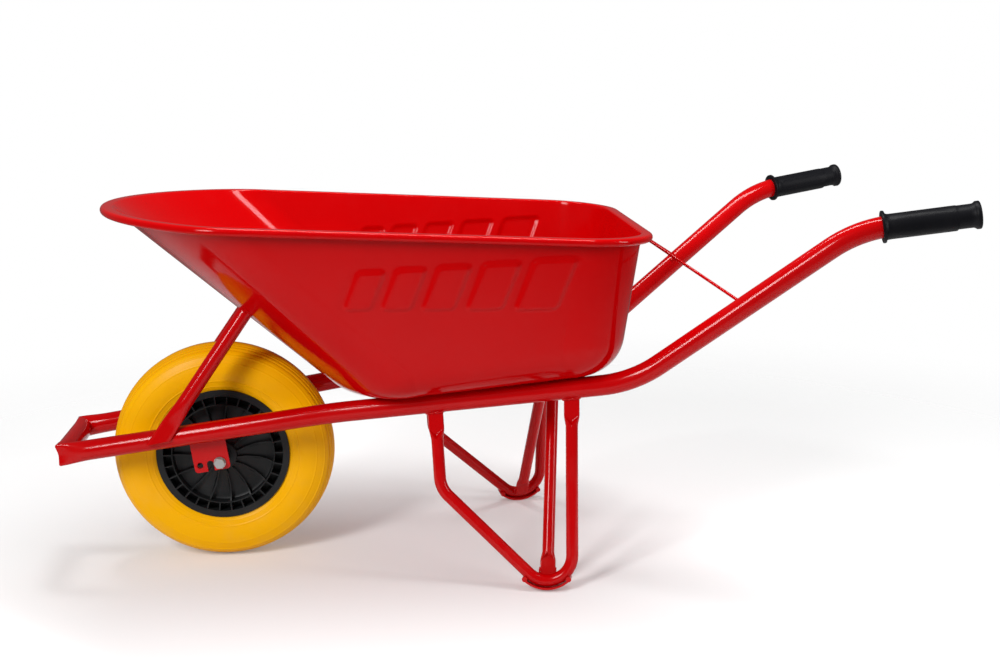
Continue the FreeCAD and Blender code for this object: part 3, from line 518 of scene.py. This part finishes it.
def corner_ring(heading, outward, s, weight, shift):
    """A ring of one of the tubes that meet at the folded corner, at its distance from it."""
    ring = []
    for k in range(TUBE_SIDES):
        turn = 2 * math.pi * k / TUBE_SIDES
        turn = turn if turn <= math.pi else turn - 2 * math.pi
        u, v = corner_place(turn)
        lateral = RAIL_R * (weight * u / math.sqrt(2) + (1 - weight) * math.cos(turn))
        height = RAIL_R * (weight * v + (1 - weight) * math.sin(turn))
        ring.append(NOSE + heading * (s - shift * lateral) + outward * lateral + FRAME_UP * height)
    return ring


def make_frame_tube():
    """Both rails and the nose in one length of tube, folded at its two front corners."""
    path = bent_path(metres([NOSE, FLARE, RISE, SHOULDER, END]), RAIL_BENDS, 9 * MM)
    turns = [2 * math.pi * k / TUBE_SIDES for k in range(TUBE_SIDES)]
    sideways = FRAME_UP.cross(FRONT_WAY)
    sideways = sideways if sideways.y > 0 else -sideways
    rail = []
    for point, heading in list(zip(path, headings(path)))[1:]:
        up = (FRAME_UP - heading * FRAME_UP.dot(heading)).normalized()
        out = up.cross(heading)
        out = out if out.y > 0 else -out
        rail.append([point + (out * math.cos(t) + up * math.sin(t)) * RAIL_R * MM for t in turns])
    rings = list(reversed(rail))
    rings += [metres(corner_ring(FRONT_WAY, sideways, *row)) for row in reversed(CRUSH)]
    left = Vector((0, -1, 0))
    ahead = FRAME_UP.cross(left)
    ahead = ahead if ahead.x < 0 else -ahead
    rings += [metres(corner_ring(left, ahead, *row)) for row in CRUSH[1:]]
    rings += [flip(ring) for ring in reversed(rings)]
    verts, faces = skin(rings)
    frame_tube = piece("frame_tube", verts, faces, RED_TUBE, 50)
    install(frame_tube, "root", "red_frame", "rail_left", "rail_right", "nose_tube")


# ---------------------------------------------------------------- legs and braces

LEG_R = 10.0
LEG_FRONT_X = 358.5
LEG_FOOT_X = 533.8
LEG_ANGLES = (44.4, 2.8, 0.8)   # degrees of the run to the foot, the front end and the rear end
CRUSHED_SIDES = 64
CRUSHED_WIDTH = 25.5
CRUSHED_THICK = 8.0
FINE_STEP = 1.4 * MM
SHOE_THICK = 3.5
SHOE_HALF = 11
REAR_BAR_X = 568.0
REAR_BAR_THICK = 5
BRACE_HEAD_Y = 34.0
LEG_DOWN = Vector((0, 0.173, -1)).normalized()
RAIL_WAY = (RISE - FLARE).normalized()
LEG_BACK = (RAIL_WAY - LEG_DOWN * RAIL_WAY.dot(LEG_DOWN)).normalized()
LEG_INWARD = LEG_DOWN.cross(LEG_BACK)
FOOT_RADIUS = 41.9
KNEE_RADIUS = 45.0


LEG_START = along(FLARE, RISE, LEG_FRONT_X)


def plane_place(point):
    """A point in the leg's plane: back and down from the top of its front end."""
    offset = point - LEG_START
    return offset.dot(LEG_BACK), offset.dot(LEG_DOWN)


def foot_centre():
    """The middle of the foot bend, so high that the shoe's lowest edge is on the ground."""
    tilt = abs(LEG_INWARD.z)
    height = (FOOT_RADIUS + LEG_R + SHOE_THICK) * math.sqrt(1 - tilt ** 2) + SHOE_HALF * tilt
    over = along(FLARE, RISE, LEG_FOOT_X)
    return over + LEG_DOWN * ((over.z - height) / -LEG_DOWN.z)


def meet(p, p_way, q, q_way):
    """Where two lines in a plane cross."""
    cross = p_way[0] * q_way[1] - p_way[1] * q_way[0]
    run = ((q[0] - p[0]) * q_way[1] - (q[1] - p[1]) * q_way[0]) / cross
    return p[0] + p_way[0] * run, p[1] + p_way[1] * run


def leg_corners():
    """The leg's front top, knee, foot and rear top."""
    centre = plane_place(foot_centre())
    run, front, rear = (math.radians(a) for a in LEG_ANGLES)
    run_out = (-math.sin(run), math.cos(run))
    rear_out = (math.cos(rear), math.sin(rear))
    share = FOOT_RADIUS / (1 + run_out[0] * rear_out[0] + run_out[1] * rear_out[1])
    foot = [centre[k] + (run_out[k] + rear_out[k]) * share for k in (0, 1)]
    knee = meet((0, 0), (math.sin(front), math.cos(front)), foot, (-math.cos(run), -math.sin(run)))
    top = meet(foot, (math.sin(rear), -math.cos(rear)), (0, 0), plane_place(LEG_START + RAIL_WAY))
    return [LEG_START + LEG_BACK * b + LEG_DOWN * d for b, d in ((0, 0), knee, foot, top)]


def crushed(d, flat, crease, blend):
    """Leg tube section (across, through) at a distance from the end of a crushed length."""
    share = smooth((d - flat) / blend)
    half = CRUSHED_WIDTH / 2 + (LEG_R - CRUSHED_WIDTH / 2) * share
    points = []
    for k in range(CRUSHED_SIDES):
        turn = 2 * math.pi * k / CRUSHED_SIDES
        a, b = half * math.cos(turn), LEG_R * math.sin(turn)
        fold = crease * (1 - abs(a) / (CRUSHED_WIDTH / 2))
        limit = CRUSHED_THICK / 2 + 1.1 * max(0.0, d - flat - fold)
        points.append((a, math.copysign(min(abs(b), limit), b)))
    return points


def stepped(path, fine, step):
    """The path with its two end runs divided finely as far as the crushed lengths go."""
    result = [path[0]]
    length = 0.0
    total = sum((b - a).length for a, b in zip(path, path[1:]))
    for a, b in zip(path, path[1:]):
        run = (b - a).length
        cuts = [k * step for k in range(1, int(run / step)) if length + k * step < fine[0]
                or total - length - k * step < fine[1]]
        result += [a + (b - a).normalized() * c for c in cuts] + [b]
        length += run
    return result


def swept(path, through, section):
    """Rings along a path in metres; the section is given the distances from both ends in mm."""
    total = sum((b - a).length for a, b in zip(path, path[1:])) / MM
    rings, length = [], 0.0
    for k, (point, heading) in enumerate(zip(path, headings(path))):
        if k:
            length += (point - path[k - 1]).length / MM
        t = (through - heading * through.dot(heading)).normalized()
        w = t.cross(heading)
        rings.append([point + (w * a + t * b) * MM for a, b in section(length, total - length)])
    return rings


def make_leg(side):
    """A tube bent to a V, both ends crushed flat with a creased fold and let in to the rail."""
    front, knee, foot, rear = leg_corners()
    path = bent_path(metres([front, knee, foot, rear]), (KNEE_RADIUS, FOOT_RADIUS), 4 * MM)
    path = stepped(path, (0.082, 0.082), FINE_STEP)
    flat = RAIL_R + 26

    def section(start, end):
        return crushed(min(start, end), flat, 11.0, 20.0)

    rings = on_side(swept(path, LEG_INWARD, section), side)
    name = side_name(side)
    leg = piece("leg_tube_" + name, *skin(rings), RED_TUBE, 32)
    install(leg, "root", "red_frame", "leg_" + name)


def brace_ends():
    """The brace's head under the rear cross bar, and its foot beside the leg's."""
    beside = foot_centre() + LEG_DOWN * (FOOT_RADIUS - 4) + LEG_INWARD * (LEG_R + 4)
    rest = FLARE + FLOOR_UP * RAIL_R
    bar_top = Vector((REAR_BAR_X, 0, rest.z + (REAR_BAR_X - rest.x) * FLOOR_SLOPE))
    bar_low = bar_top - FLOOR_UP * REAR_BAR_THICK
    return Vector((REAR_BAR_X, BRACE_HEAD_Y, bar_low.z)), beside


def make_brace(side):
    """A tube from the rear cross bar down to the inside of the foot, its end crushed flat."""
    head, foot = brace_ends()
    path = stepped(metres([head, foot]), (0, 0.06), FINE_STEP)

    def section(start, end):
        return crushed(end, 24.0, 9.0, 18.0)

    first, *rest = swept(path, LEG_INWARD, section)
    heading = (path[1] - path[0]).normalized()
    top = place(*head)
    cut = [p + heading * ((top - p).dot(FLOOR_UP) / heading.dot(FLOOR_UP)) for p in first]
    rings = on_side([cut, [p + heading * 16 * MM for p in first]] + rest, side)
    name = side_name(side)
    brace = piece("leg_brace_tube_" + name, *skin(rings), RED_TUBE, 32)
    install(brace, "root", "red_frame", "leg_brace_" + name)


# ---------------------------------------------------------------- front struts

STRUT_AIM = Vector((108.5, 71.0, 523.0))
STRUT_FOOT_X = -94.0
STRUT_FLAT = (14.5, 5.5)     # half width and half thickness of the flattened foot
STRUT_R = 12.5
STRUT_BLEND = (30, 52)       # where the flat foot begins to turn round, and over what length


def make_strut(side, tray_tree):
    """A tube between the rail's side and the tray's front wall, flattened on the rail."""
    rail = along(NOSE, FLARE, STRUT_FOOT_X)
    foot = rail + Vector((0, RAIL_R + 4.5, 0))
    heading = (STRUT_AIM - foot).normalized()
    cut = FRONT_WAY.cross(Vector((0, 1, 0))).normalized()
    through = Vector((0, 1, 0))
    through = (through - heading * through.dot(heading)).normalized()
    wide = through.cross(heading)
    rings = []
    for k in range(50):
        d = 3.0 * k
        share = smooth((d - STRUT_BLEND[0]) / STRUT_BLEND[1])
        half_w, half_t = (flat + (STRUT_R - flat) * share for flat in STRUT_FLAT)
        power = 2 / (4 - 2 * share)
        ring = []
        for j in range(TUBE_SIDES):
            turn = 2 * math.pi * j / TUBE_SIDES
            c, s = math.cos(turn), math.sin(turn)
            a = math.copysign(abs(c) ** power, c) * half_w
            b = math.copysign(abs(s) ** power, s) * half_t
            point = foot + heading * d + wide * a + through * b
            low = (rail - point).dot(cut) / heading.dot(cut)
            ring.append(point + heading * max(0.0, low) if k else point + heading * low)
        rings.append(metres(ring))
    aim = (place(*(foot + heading)) - place(*foot)).normalized()
    top = []
    for point in rings[-1]:
        hit = tray_tree.ray_cast(point, aim)[0]
        top.append(hit + aim * 0.2 * MM if hit else point + aim * 60 * MM)
    rings += [[p.lerp(q, t) for p, q in zip(rings[-1], top)] for t in (0.5, 1.0)]
    rings = on_side(rings, side)
    name = side_name(side)
    strut = piece("front_strut_tube_" + name, *skin(rings), RED_TUBE, 40)
    install(strut, "root", "red_frame", "front_strut_" + name)


# ---------------------------------------------------------------- wheel

TYRE_R = 188.0
TREAD_HALF = 33.0
TREAD_DROP = 12.0
GROOVES = (13.0, 20.0, 27.0)
GROOVE_DEPTH = 3.2
# Raised mould lines on the side: radius, height, width.
SIDE_LINES = ((172.5, 0.7, 1.1), (159, 0.45, 1.0), (128.5, 0.8, 1.1), (119, 0.5, 0.9))
RIM_SEAT = 104.5


def arc_through(a, b, c, count):
    """Points of the arc from a through b to c, in a plane."""
    ax, ay, bx, by, cx, cy = *a, *b, *c
    aa, bb, cc = ax * ax + ay * ay, bx * bx + by * by, cx * cx + cy * cy
    d = 2 * (ax * (by - cy) + bx * (cy - ay) + cx * (ay - by))
    ux = (aa * (by - cy) + bb * (cy - ay) + cc * (ay - by)) / d
    uy = (aa * (cx - bx) + bb * (ax - cx) + cc * (bx - ax)) / d
    radius = math.hypot(ax - ux, ay - uy)
    first, last = math.atan2(ay - uy, ax - ux), math.atan2(cy - uy, cx - ux)
    if abs(last - first) > math.pi:
        last += math.copysign(2 * math.pi, first - last)
    turns = [first + (last - first) * k / count for k in range(count + 1)]
    return [(ux + radius * math.cos(t), uy + radius * math.sin(t)) for t in turns]


def tread_radius(y):
    """The crowned tread's radius at a distance from its middle."""
    arc = (TREAD_HALF ** 2 + TREAD_DROP ** 2) / (2 * TREAD_DROP)
    return TYRE_R - arc + math.sqrt(arc ** 2 - y ** 2)


def tread_groove(middle):
    """A groove's section from lip to lip, with a flat bottom."""
    low = tread_radius(middle) - GROOVE_DEPTH
    near, far = ([(tread_radius(middle + y) - drop, middle + y) for y, drop in lips]
                 for lips in (((-2.0, 0), (-1.25, 0.36)), ((1.25, 0.36), (2.0, 0))))
    return near + [(low, middle - 1.0), (low, middle + 1.0)] + far


def tyre_half_profile():
    """From the middle of the tread over the grooves and down the side to the rim."""
    points = [(TYRE_R, 0.0)]
    for groove in GROOVES:
        points += tread_groove(groove)
    points += [(tread_radius(30.5), 30.5)]
    side = arc_through((TYRE_R - TREAD_DROP, TREAD_HALF), (144.25, 44.0), (112.5, 37.5), 96)
    for r, y in side:
        lift = sum(h * math.exp(-((r - line) / w) ** 2) for line, h, w in SIDE_LINES)
        points.append((r + lift * 0.15, y + lift))
    return points + [(108.0, 37.5), (RIM_SEAT, 37.5)]


def make_tyre():
    """The foamed tyre, turned in one ring."""
    half = tyre_half_profile()
    profile = half + [(r, -y) for r, y in reversed(half[1:])]
    tyre = piece("tyre_ring", *turned(profile, 240), YELLOW, 30)
    install(tyre, "wheel", "yellow_tyre", "tyre")


def new_tree(name, inputs):
    """A Geometry Nodes tree with named inputs of the given kinds, and a geometry output."""
    tree = bpy.data.node_groups.new(name, "GeometryNodeTree")
    for label, kind in inputs:
        tree.interface.new_socket(label, in_out="INPUT", socket_type="NodeSocket" + kind)
    tree.interface.new_socket("Geometry", in_out="OUTPUT", socket_type="NodeSocketGeometry")
    return tree, tree.nodes.new("NodeGroupInput"), tree.nodes.new("NodeGroupOutput")


def finish_tree(tree, given, result, copies):
    """Makes the copies real and gives them the tree's material."""
    links = tree.links
    real = tree.nodes.new("GeometryNodeRealizeInstances")
    links.new(copies.outputs["Instances"], real.inputs["Geometry"])
    finish = tree.nodes.new("GeometryNodeSetMaterial")
    links.new(real.outputs["Geometry"], finish.inputs["Geometry"])
    links.new(given.outputs["Material"], finish.inputs["Material"])
    links.new(finish.outputs["Geometry"], result.inputs["Geometry"])


def make_turned_copies_tree():
    """Copies of the given mesh turned about the axle line and moved to the axle."""
    tree, given, result = new_tree("TurnedCopies", [("Geometry", "Geometry"), ("Count", "Int"),
                                                    ("Centre", "Vector"), ("Phase", "Float"),
                                                    ("Material", "Material")])
    links = tree.links
    row = add(tree, "GeometryNodeMeshLine", mode="OFFSET")
    row.inputs["Offset"].default_value = (0, 0, 0)
    links.new(given.outputs["Count"], row.inputs["Count"])
    links.new(given.outputs["Centre"], row.inputs["Start Location"])
    step = add(tree, "ShaderNodeMath", operation="DIVIDE")
    step.inputs[0].default_value = 2 * math.pi
    links.new(given.outputs["Count"], step.inputs[1])
    number = tree.nodes.new("GeometryNodeInputIndex")
    shifted = add(tree, "ShaderNodeMath", operation="ADD")
    links.new(number.outputs["Index"], shifted.inputs[0])
    links.new(given.outputs["Phase"], shifted.inputs[1])
    turn = add(tree, "ShaderNodeMath", operation="MULTIPLY")
    links.new(shifted.outputs[0], turn.inputs[0])
    links.new(step.outputs[0], turn.inputs[1])
    about = tree.nodes.new("ShaderNodeCombineXYZ")
    links.new(turn.outputs[0], about.inputs["Y"])
    copies = tree.nodes.new("GeometryNodeInstanceOnPoints")
    links.new(row.outputs["Mesh"], copies.inputs["Points"])
    links.new(given.outputs["Geometry"], copies.inputs["Instance"])
    links.new(about.outputs["Vector"], copies.inputs["Rotation"])
    finish_tree(tree, given, result, copies)
    return tree


def grown(obj, tree, values):
    """The mesh that a Geometry Nodes tree makes of an object; the object itself is removed."""
    modifier = obj.modifiers.new(tree.name, "NODES")
    modifier.node_group = tree
    for item in tree.interface.items_tree:
        if item.in_out == "INPUT" and item.name in values:
            modifier[item.identifier] = values[item.name]
    depsgraph = bpy.context.evaluated_depsgraph_get()
    mesh = bpy.data.meshes.new_from_object(obj.evaluated_get(depsgraph))
    obj.modifiers.remove(modifier)
    bpy.data.objects.remove(obj)
    return mesh


def joined(name, meshes, material, sharp):
    """One object of several closed meshes."""
    work = bmesh.new()
    for mesh in meshes:
        work.from_mesh(mesh)
    whole = bpy.data.meshes.new(name)
    work.to_mesh(whole)
    work.free()
    whole.materials.clear()
    whole.materials.append(material)
    whole.shade_smooth()
    whole.set_sharp_from_angle(angle=math.radians(sharp))
    obj = bpy.data.objects.new(name, whole)
    bpy.context.scene.collection.objects.link(obj)
    return obj


def slab(points, thickness, bow=0.0):
    """A thin closed plate of (radius, y) points about the axle, bowed along its length."""
    radii = [r for r, y in points]
    low, high = min(radii), max(radii)
    verts, faces = [], []
    count = len(points)
    for offset in (-thickness / 2, thickness / 2):
        for r, y in points:
            bent = bow * math.sin(math.pi * (r - low) / (high - low))
            verts.append(Vector((r, y, offset + bent)) * MM)
    faces.append(tuple(range(count)))
    faces.append(tuple(reversed(range(count, 2 * count))))
    faces += [(k, (k + 1) % count, count + (k + 1) % count, count + k) for k in range(count)]
    return verts, faces


HUB_R = 24.0
DRUM = 101.0
RING_IN = 87.5
DISC_Y = 18.0
RIB_WALL = 2.2
RIB_COUNT = 15
POCKET_COUNT = 30


def rim_profile():
    """Half of the moulded wheel from bore to flange, with the pocket ring as an open trench."""
    return [(12.6, 0), (HUB_R, 0), (HUB_R, 14), (DRUM, 14), (DRUM, 0), (RIM_SEAT, 0), (RIM_SEAT, 37.5),
            (112.5, 37.5), (112.5, 40.2), (111.8, 41), (101.6, 41), (DRUM, 40.4), (DRUM, DISC_Y),
            (RING_IN, DISC_Y), (RING_IN, 40.4), (86.9, 41), (85.9, 41), (85.3, 40.4), (85.3, 27),
            (84.2, 24.6), (80, 22.4), (60, 24.4), (40, 29.2), (28.5, 33.6), (HUB_R + 0.6, 37), (HUB_R, 40),
            (HUB_R, 51.2), (23.2, 52), (12.6, 52)]


def make_rim(side, copies):
    """The moulded wheel half: its turned body, with ribs and pocket walls set round the axle."""
    body = piece("turned_body", *turned(rim_profile(), 192, side), BLACK_PLASTIC)
    ribs = [(HUB_R - 1, 30), (85.8, 20), (85.8, 37), (78, 32), (60, 30.5), (40, 35), (29, 41),
            (HUB_R - 1, 45)]
    ribs = [(r, side * y) for r, y in ribs]
    walls = [(RING_IN - 0.4, side * (DISC_Y - 1)), (DRUM + 0.4, side * (DISC_Y - 1)),
             (DRUM + 0.4, side * 40.2), (RING_IN - 0.4, side * 40.2)]
    meshes = [body.data]
    for outline, count, bow, phase in ((ribs, RIB_COUNT, 3.0, 0.5), (walls, POCKET_COUNT, 0.0, 0.0)):
        seed = piece("one_rib", *slab(outline, RIB_WALL, bow), BLACK_PLASTIC)
        meshes.append(grown(seed, copies, {"Count": count, "Centre": AXLE, "Phase": phase,
                                           "Material": BLACK_PLASTIC}))
    name = side_name(side)
    rim = joined("rim_face_" + name, meshes, BLACK_PLASTIC, 35)
    bpy.data.objects.remove(body)
    install(rim, "wheel", "black_plastic", "rim_half_" + name)


# ---------------------------------------------------------------- grips

SLEEVE_START = 141.0     # the hand stop's face, before the end of the rail
GRIP_SIDES = 72


def grip_profile():
    """The sleeve's radii at distances behind the hand stop's face."""
    profile = [(RAIL_R + 0.05, 0), (24.2, 0), (24.9, 0.6), (24.95, 3.6), (24.2, 4.6), (20.6, 6), (19.2, 8.5),
               (18.95, 12)]
    profile += [(18.95, 12 + 3.1 * k) for k in range(1, 32)]
    return profile + [(18.8, 109.6), (18.35, 111), (18.3, 114), (18.3, 128), (18.5, 134), (20.2, 137),
                      (21.4, 138.4), (21.5, 143.2), (20.9, 144.4), (19.6, 145), (10, 145), (1, 145)]


def swollen(radius, h, turn):
    """The hand part's radius, fuller below and in the arch on each side."""
    if 8 < h < 110:
        radius += 1.3 * smooth(-math.sin(turn) * 2.2 - 0.2) * smooth((112 - h) / 3)
        arch = abs(math.cos(turn)) - 0.42 - 0.35 * ((h - 60) / 46) ** 2
        radius += 0.45 * smooth(arch / 0.12) * smooth((106 - h) / 6) * smooth((h - 12) / 6)
    return radius


def make_grip(side):
    """A moulded rubber sleeve: hand stop, thicker hand part with a raised arch, tip and end rim."""
    heading = (END - SHOULDER).normalized()
    start = END - heading * SLEEVE_START
    up = (Vector((0, 0, 1)) - heading * heading.z).normalized()
    out = heading.cross(up)
    turns = [2 * math.pi * k / GRIP_SIDES for k in range(GRIP_SIDES)]
    rings = []
    for r, h in grip_profile():
        rings.append(metres([start + heading * h
                             + (out * math.cos(turn) + up * math.sin(turn)) * swollen(r, h, turn)
                             for turn in turns]))
    name = side_name(side)
    grip = piece("grip_sleeve_" + name, *skin(on_side(rings, side)), BLACK_RUBBER, 40)
    install(grip, "root", "black_rubber", "grip_" + name)


# ---------------------------------------------------------------- welds

def make_weld_tree():
    """Overlapping beads of uneven size along the given lines."""
    tree, given, result = new_tree("WeldBeads", [("Geometry", "Geometry"), ("Bead Radius", "Float"),
                                                 ("Spacing", "Float"), ("Seed", "Int"),
                                                 ("Material", "Material")])
    links = tree.links
    lines = tree.nodes.new("GeometryNodeMeshToCurve")
    links.new(given.outputs["Geometry"], lines.inputs["Mesh"])
    evenly = add(tree, "GeometryNodeResampleCurve", mode="LENGTH")
    links.new(lines.outputs["Curve"], evenly.inputs["Curve"])
    links.new(given.outputs["Spacing"], evenly.inputs["Length"])
    bead = tree.nodes.new("GeometryNodeMeshIcoSphere")
    bead.inputs["Subdivisions"].default_value = 2
    links.new(given.outputs["Bead Radius"], bead.inputs["Radius"])
    size = add(tree, "FunctionNodeRandomValue", data_type="FLOAT")
    size.inputs[2].default_value = 0.8
    size.inputs[3].default_value = 1.25
    links.new(given.outputs["Seed"], size.inputs["Seed"])
    copies = tree.nodes.new("GeometryNodeInstanceOnPoints")
    links.new(evenly.outputs["Curve"], copies.inputs["Points"])
    links.new(bead.outputs["Mesh"], copies.inputs["Instance"])
    links.new(size.outputs[1], copies.inputs["Scale"])
    finish_tree(tree, given, result, copies)
    return tree


STAY_X = 838.5
STAY_AIM = Vector((705, 0, 560))


def weld_lines():
    """The seams on the right, as pairs of points: legs, brace foot, strut, bracket and stay."""
    lines = []
    corners = leg_corners()
    depth = math.sqrt(RAIL_R ** 2 - 16)
    for top in (corners[0], corners[3]):
        for aside in (-4.6, 4.6):
            seam = top + LEG_DOWN * depth + LEG_INWARD * aside
            lines.append([seam - RAIL_WAY * 13.5, seam + RAIL_WAY * 13.5])
    head, foot = brace_ends()
    heading = (foot - head).normalized()
    across = LEG_INWARD.cross(heading).normalized()
    for s in (-1, 1):
        edge = foot - LEG_INWARD * 3.0 + across * s * 12.5
        lines.append([edge - heading * 14, edge - heading * 1])
    rail = along(NOSE, FLARE, STRUT_FOOT_X)
    low = rail + Vector((0, RAIL_R + 1.4, -1.2))
    lines.append([low - FRONT_WAY * 15, low + FRONT_WAY * 15])
    bracket = [along(NOSE, FLARE, x) for x in (-42, 14)]
    lines.append([Vector((p.x, p.y - RAIL_R + 1.4, p.z - 6.4)) for p in bracket])
    stay = along(RISE, SHOULDER, STAY_X)
    inwards = (STAY_AIM - stay).normalized()
    spot = stay + inwards * (RAIL_R + 0.8)
    way = (SHOULDER - RISE).normalized()
    lines.append([spot - way * 3.5, spot + way * 3.5])
    return lines


def make_welds():
    """The beads along all seams of both sides, in one piece."""
    verts, edges = [], []
    for side in (1, -1):
        for line in weld_lines():
            verts += [place(p.x, side * p.y, p.z) for p in line]
            edges.append((len(verts) - 2, len(verts) - 1))
    mesh = bpy.data.meshes.new("weld_lines")
    mesh.from_pydata(verts, edges, [])
    lines = bpy.data.objects.new("weld_lines", mesh)
    bpy.context.scene.collection.objects.link(lines)
    beads = grown(lines, make_weld_tree(), {"Bead Radius": 2.1 * MM, "Spacing": 1.7 * MM, "Seed": 4,
                                            "Material": RED_TUBE})
    welds = joined("frame_welds", [beads], RED_TUBE, 60)
    install(welds, "root", "red_frame")


# ---------------------------------------------------------------- camera and studio

CAMERA_FROM_AXLE = (0.28367, -2.33581, 0.86294)   # behind the axle, to the right, above the ground
FLOOR_SIDES = 96
CAMERA_TURN, CAMERA_DOWN, CAMERA_ROLL = -4.77, 11.66, -0.31
LIGHTS = (("key_light", (-1.9, -2.3, 2.0), (0.0, 0.0, 0.35), (0.7, 1.3), 70),
          ("top_light", (0.1, 0.1, 2.5), (0.0, 0.0, 0.3), (2.4, 0.32), 48),
          ("rim_light", (2.3, -0.9, 1.3), (0.1, 0.0, 0.4), (0.5, 1.5), 20))


def make_camera():
    """The camera beside the barrow, on the left."""
    x, y, z = CAMERA_FROM_AXLE
    data = bpy.data.cameras.new("camera")
    data.lens = 49.65
    data.sensor_width = 36.0
    camera = bpy.data.objects.new("camera", data)
    camera.matrix_world = (Matrix.Translation((AXLE.x + x, y, z))
                           @ Matrix.Rotation(math.radians(CAMERA_TURN), 4, "Z")
                           @ Matrix.Rotation(math.radians(90 - CAMERA_DOWN), 4, "X")
                           @ Matrix.Rotation(math.radians(CAMERA_ROLL), 4, "Z"))
    bpy.context.scene.collection.objects.link(camera)
    bpy.context.scene.camera = camera


def soft_box(name, where, aim, size, watts):
    """A rectangular light at a place, turned to what it lights."""
    data = bpy.data.lights.new(name, "AREA")
    data.shape = "RECTANGLE"
    data.size, data.size_y = size
    data.energy = watts
    light = bpy.data.objects.new(name, data)
    light.location = where
    light.rotation_euler = (Vector(aim) - Vector(where)).to_track_quat("-Z", "Y").to_euler()
    bpy.context.scene.collection.objects.link(light)


def make_world():
    """White to look at, a soft grey to light by, and dim in reflections."""
    world = bpy.data.worlds.new("studio")
    world.use_nodes = True
    tree = world.node_tree
    backdrop = tree.nodes["Background"]
    backdrop.inputs["Color"].default_value = (1.0, 1.0, 1.0, 1.0)
    ray = add(tree, "ShaderNodeLightPath")
    mirrored_share = add(tree, "ShaderNodeMapRange", To_Min=0.30, To_Max=0.12)
    seen_share = add(tree, "ShaderNodeMix", data_type="FLOAT")
    seen_share.inputs["B"].default_value = 1.0
    tree.links.new(ray.outputs["Is Glossy Ray"], mirrored_share.inputs["Value"])
    tree.links.new(mirrored_share.outputs["Result"], seen_share.inputs["A"])
    tree.links.new(ray.outputs["Is Camera Ray"], seen_share.inputs["Factor"])
    tree.links.new(seen_share.outputs["Result"], backdrop.inputs["Strength"])
    bpy.context.scene.world = world


def make_floor():
    """A pale floor that fades into the backdrop with distance."""
    mesh = bpy.data.meshes.new("studio_floor")
    turns = [2 * math.pi * k / FLOOR_SIDES for k in range(FLOOR_SIDES)]
    rings = [[(r * math.cos(a), r * math.sin(a), 0.0) for a in turns] for r in (0.01, 1.0, 3.0, 6.0)]
    verts, faces = skin(rings, capped=False)
    mesh.from_pydata(verts, [], faces + [tuple(range(FLOOR_SIDES))])
    material = bpy.data.materials.new("studio_floor")
    material.use_nodes = True
    tree = material.node_tree
    shader = tree.nodes["Principled BSDF"]
    shader.inputs["Base Color"].default_value = (0.93, 0.93, 0.93, 1.0)
    shader.inputs["Roughness"].default_value = 0.9
    shader.inputs["Specular IOR Level"].default_value = 0.05
    where = tree.nodes.new("ShaderNodeTexCoord")
    far = add(tree, "ShaderNodeVectorMath", operation="LENGTH")
    fade = add(tree, "ShaderNodeMapRange", interpolation_type="SMOOTHSTEP", From_Min=0.5, From_Max=2.0,
               To_Min=0.85, To_Max=0.0)
    tree.links.new(where.outputs["Object"], far.inputs[0])
    tree.links.new(far.outputs["Value"], fade.inputs["Value"])
    tree.links.new(fade.outputs["Result"], shader.inputs["Alpha"])
    mesh.materials.append(material)
    floor = bpy.data.objects.new("studio_floor", mesh)
    bpy.context.scene.collection.objects.link(floor)


def make_studio():
    """The backdrop, the floor and the lights."""
    bpy.context.scene.view_settings.view_transform = "Standard"
    make_world()
    make_floor()
    for light in LIGHTS:
        soft_box(*light)


# ---------------------------------------------------------------- build

make_camera()
dress_frame()
tray_shell = make_tray()
make_frame_tube()
tray_tree = BVHTree.FromPolygons([v.co for v in tray_shell.data.vertices],
                                 [p.vertices for p in tray_shell.data.polygons])
turned_copies = make_turned_copies_tree()
for side in (-1, 1):
    make_leg(side)
    make_brace(side)
    make_strut(side, tray_tree)
    make_rim(side, turned_copies)
    make_grip(side)
make_tyre()
make_welds()
make_studio()
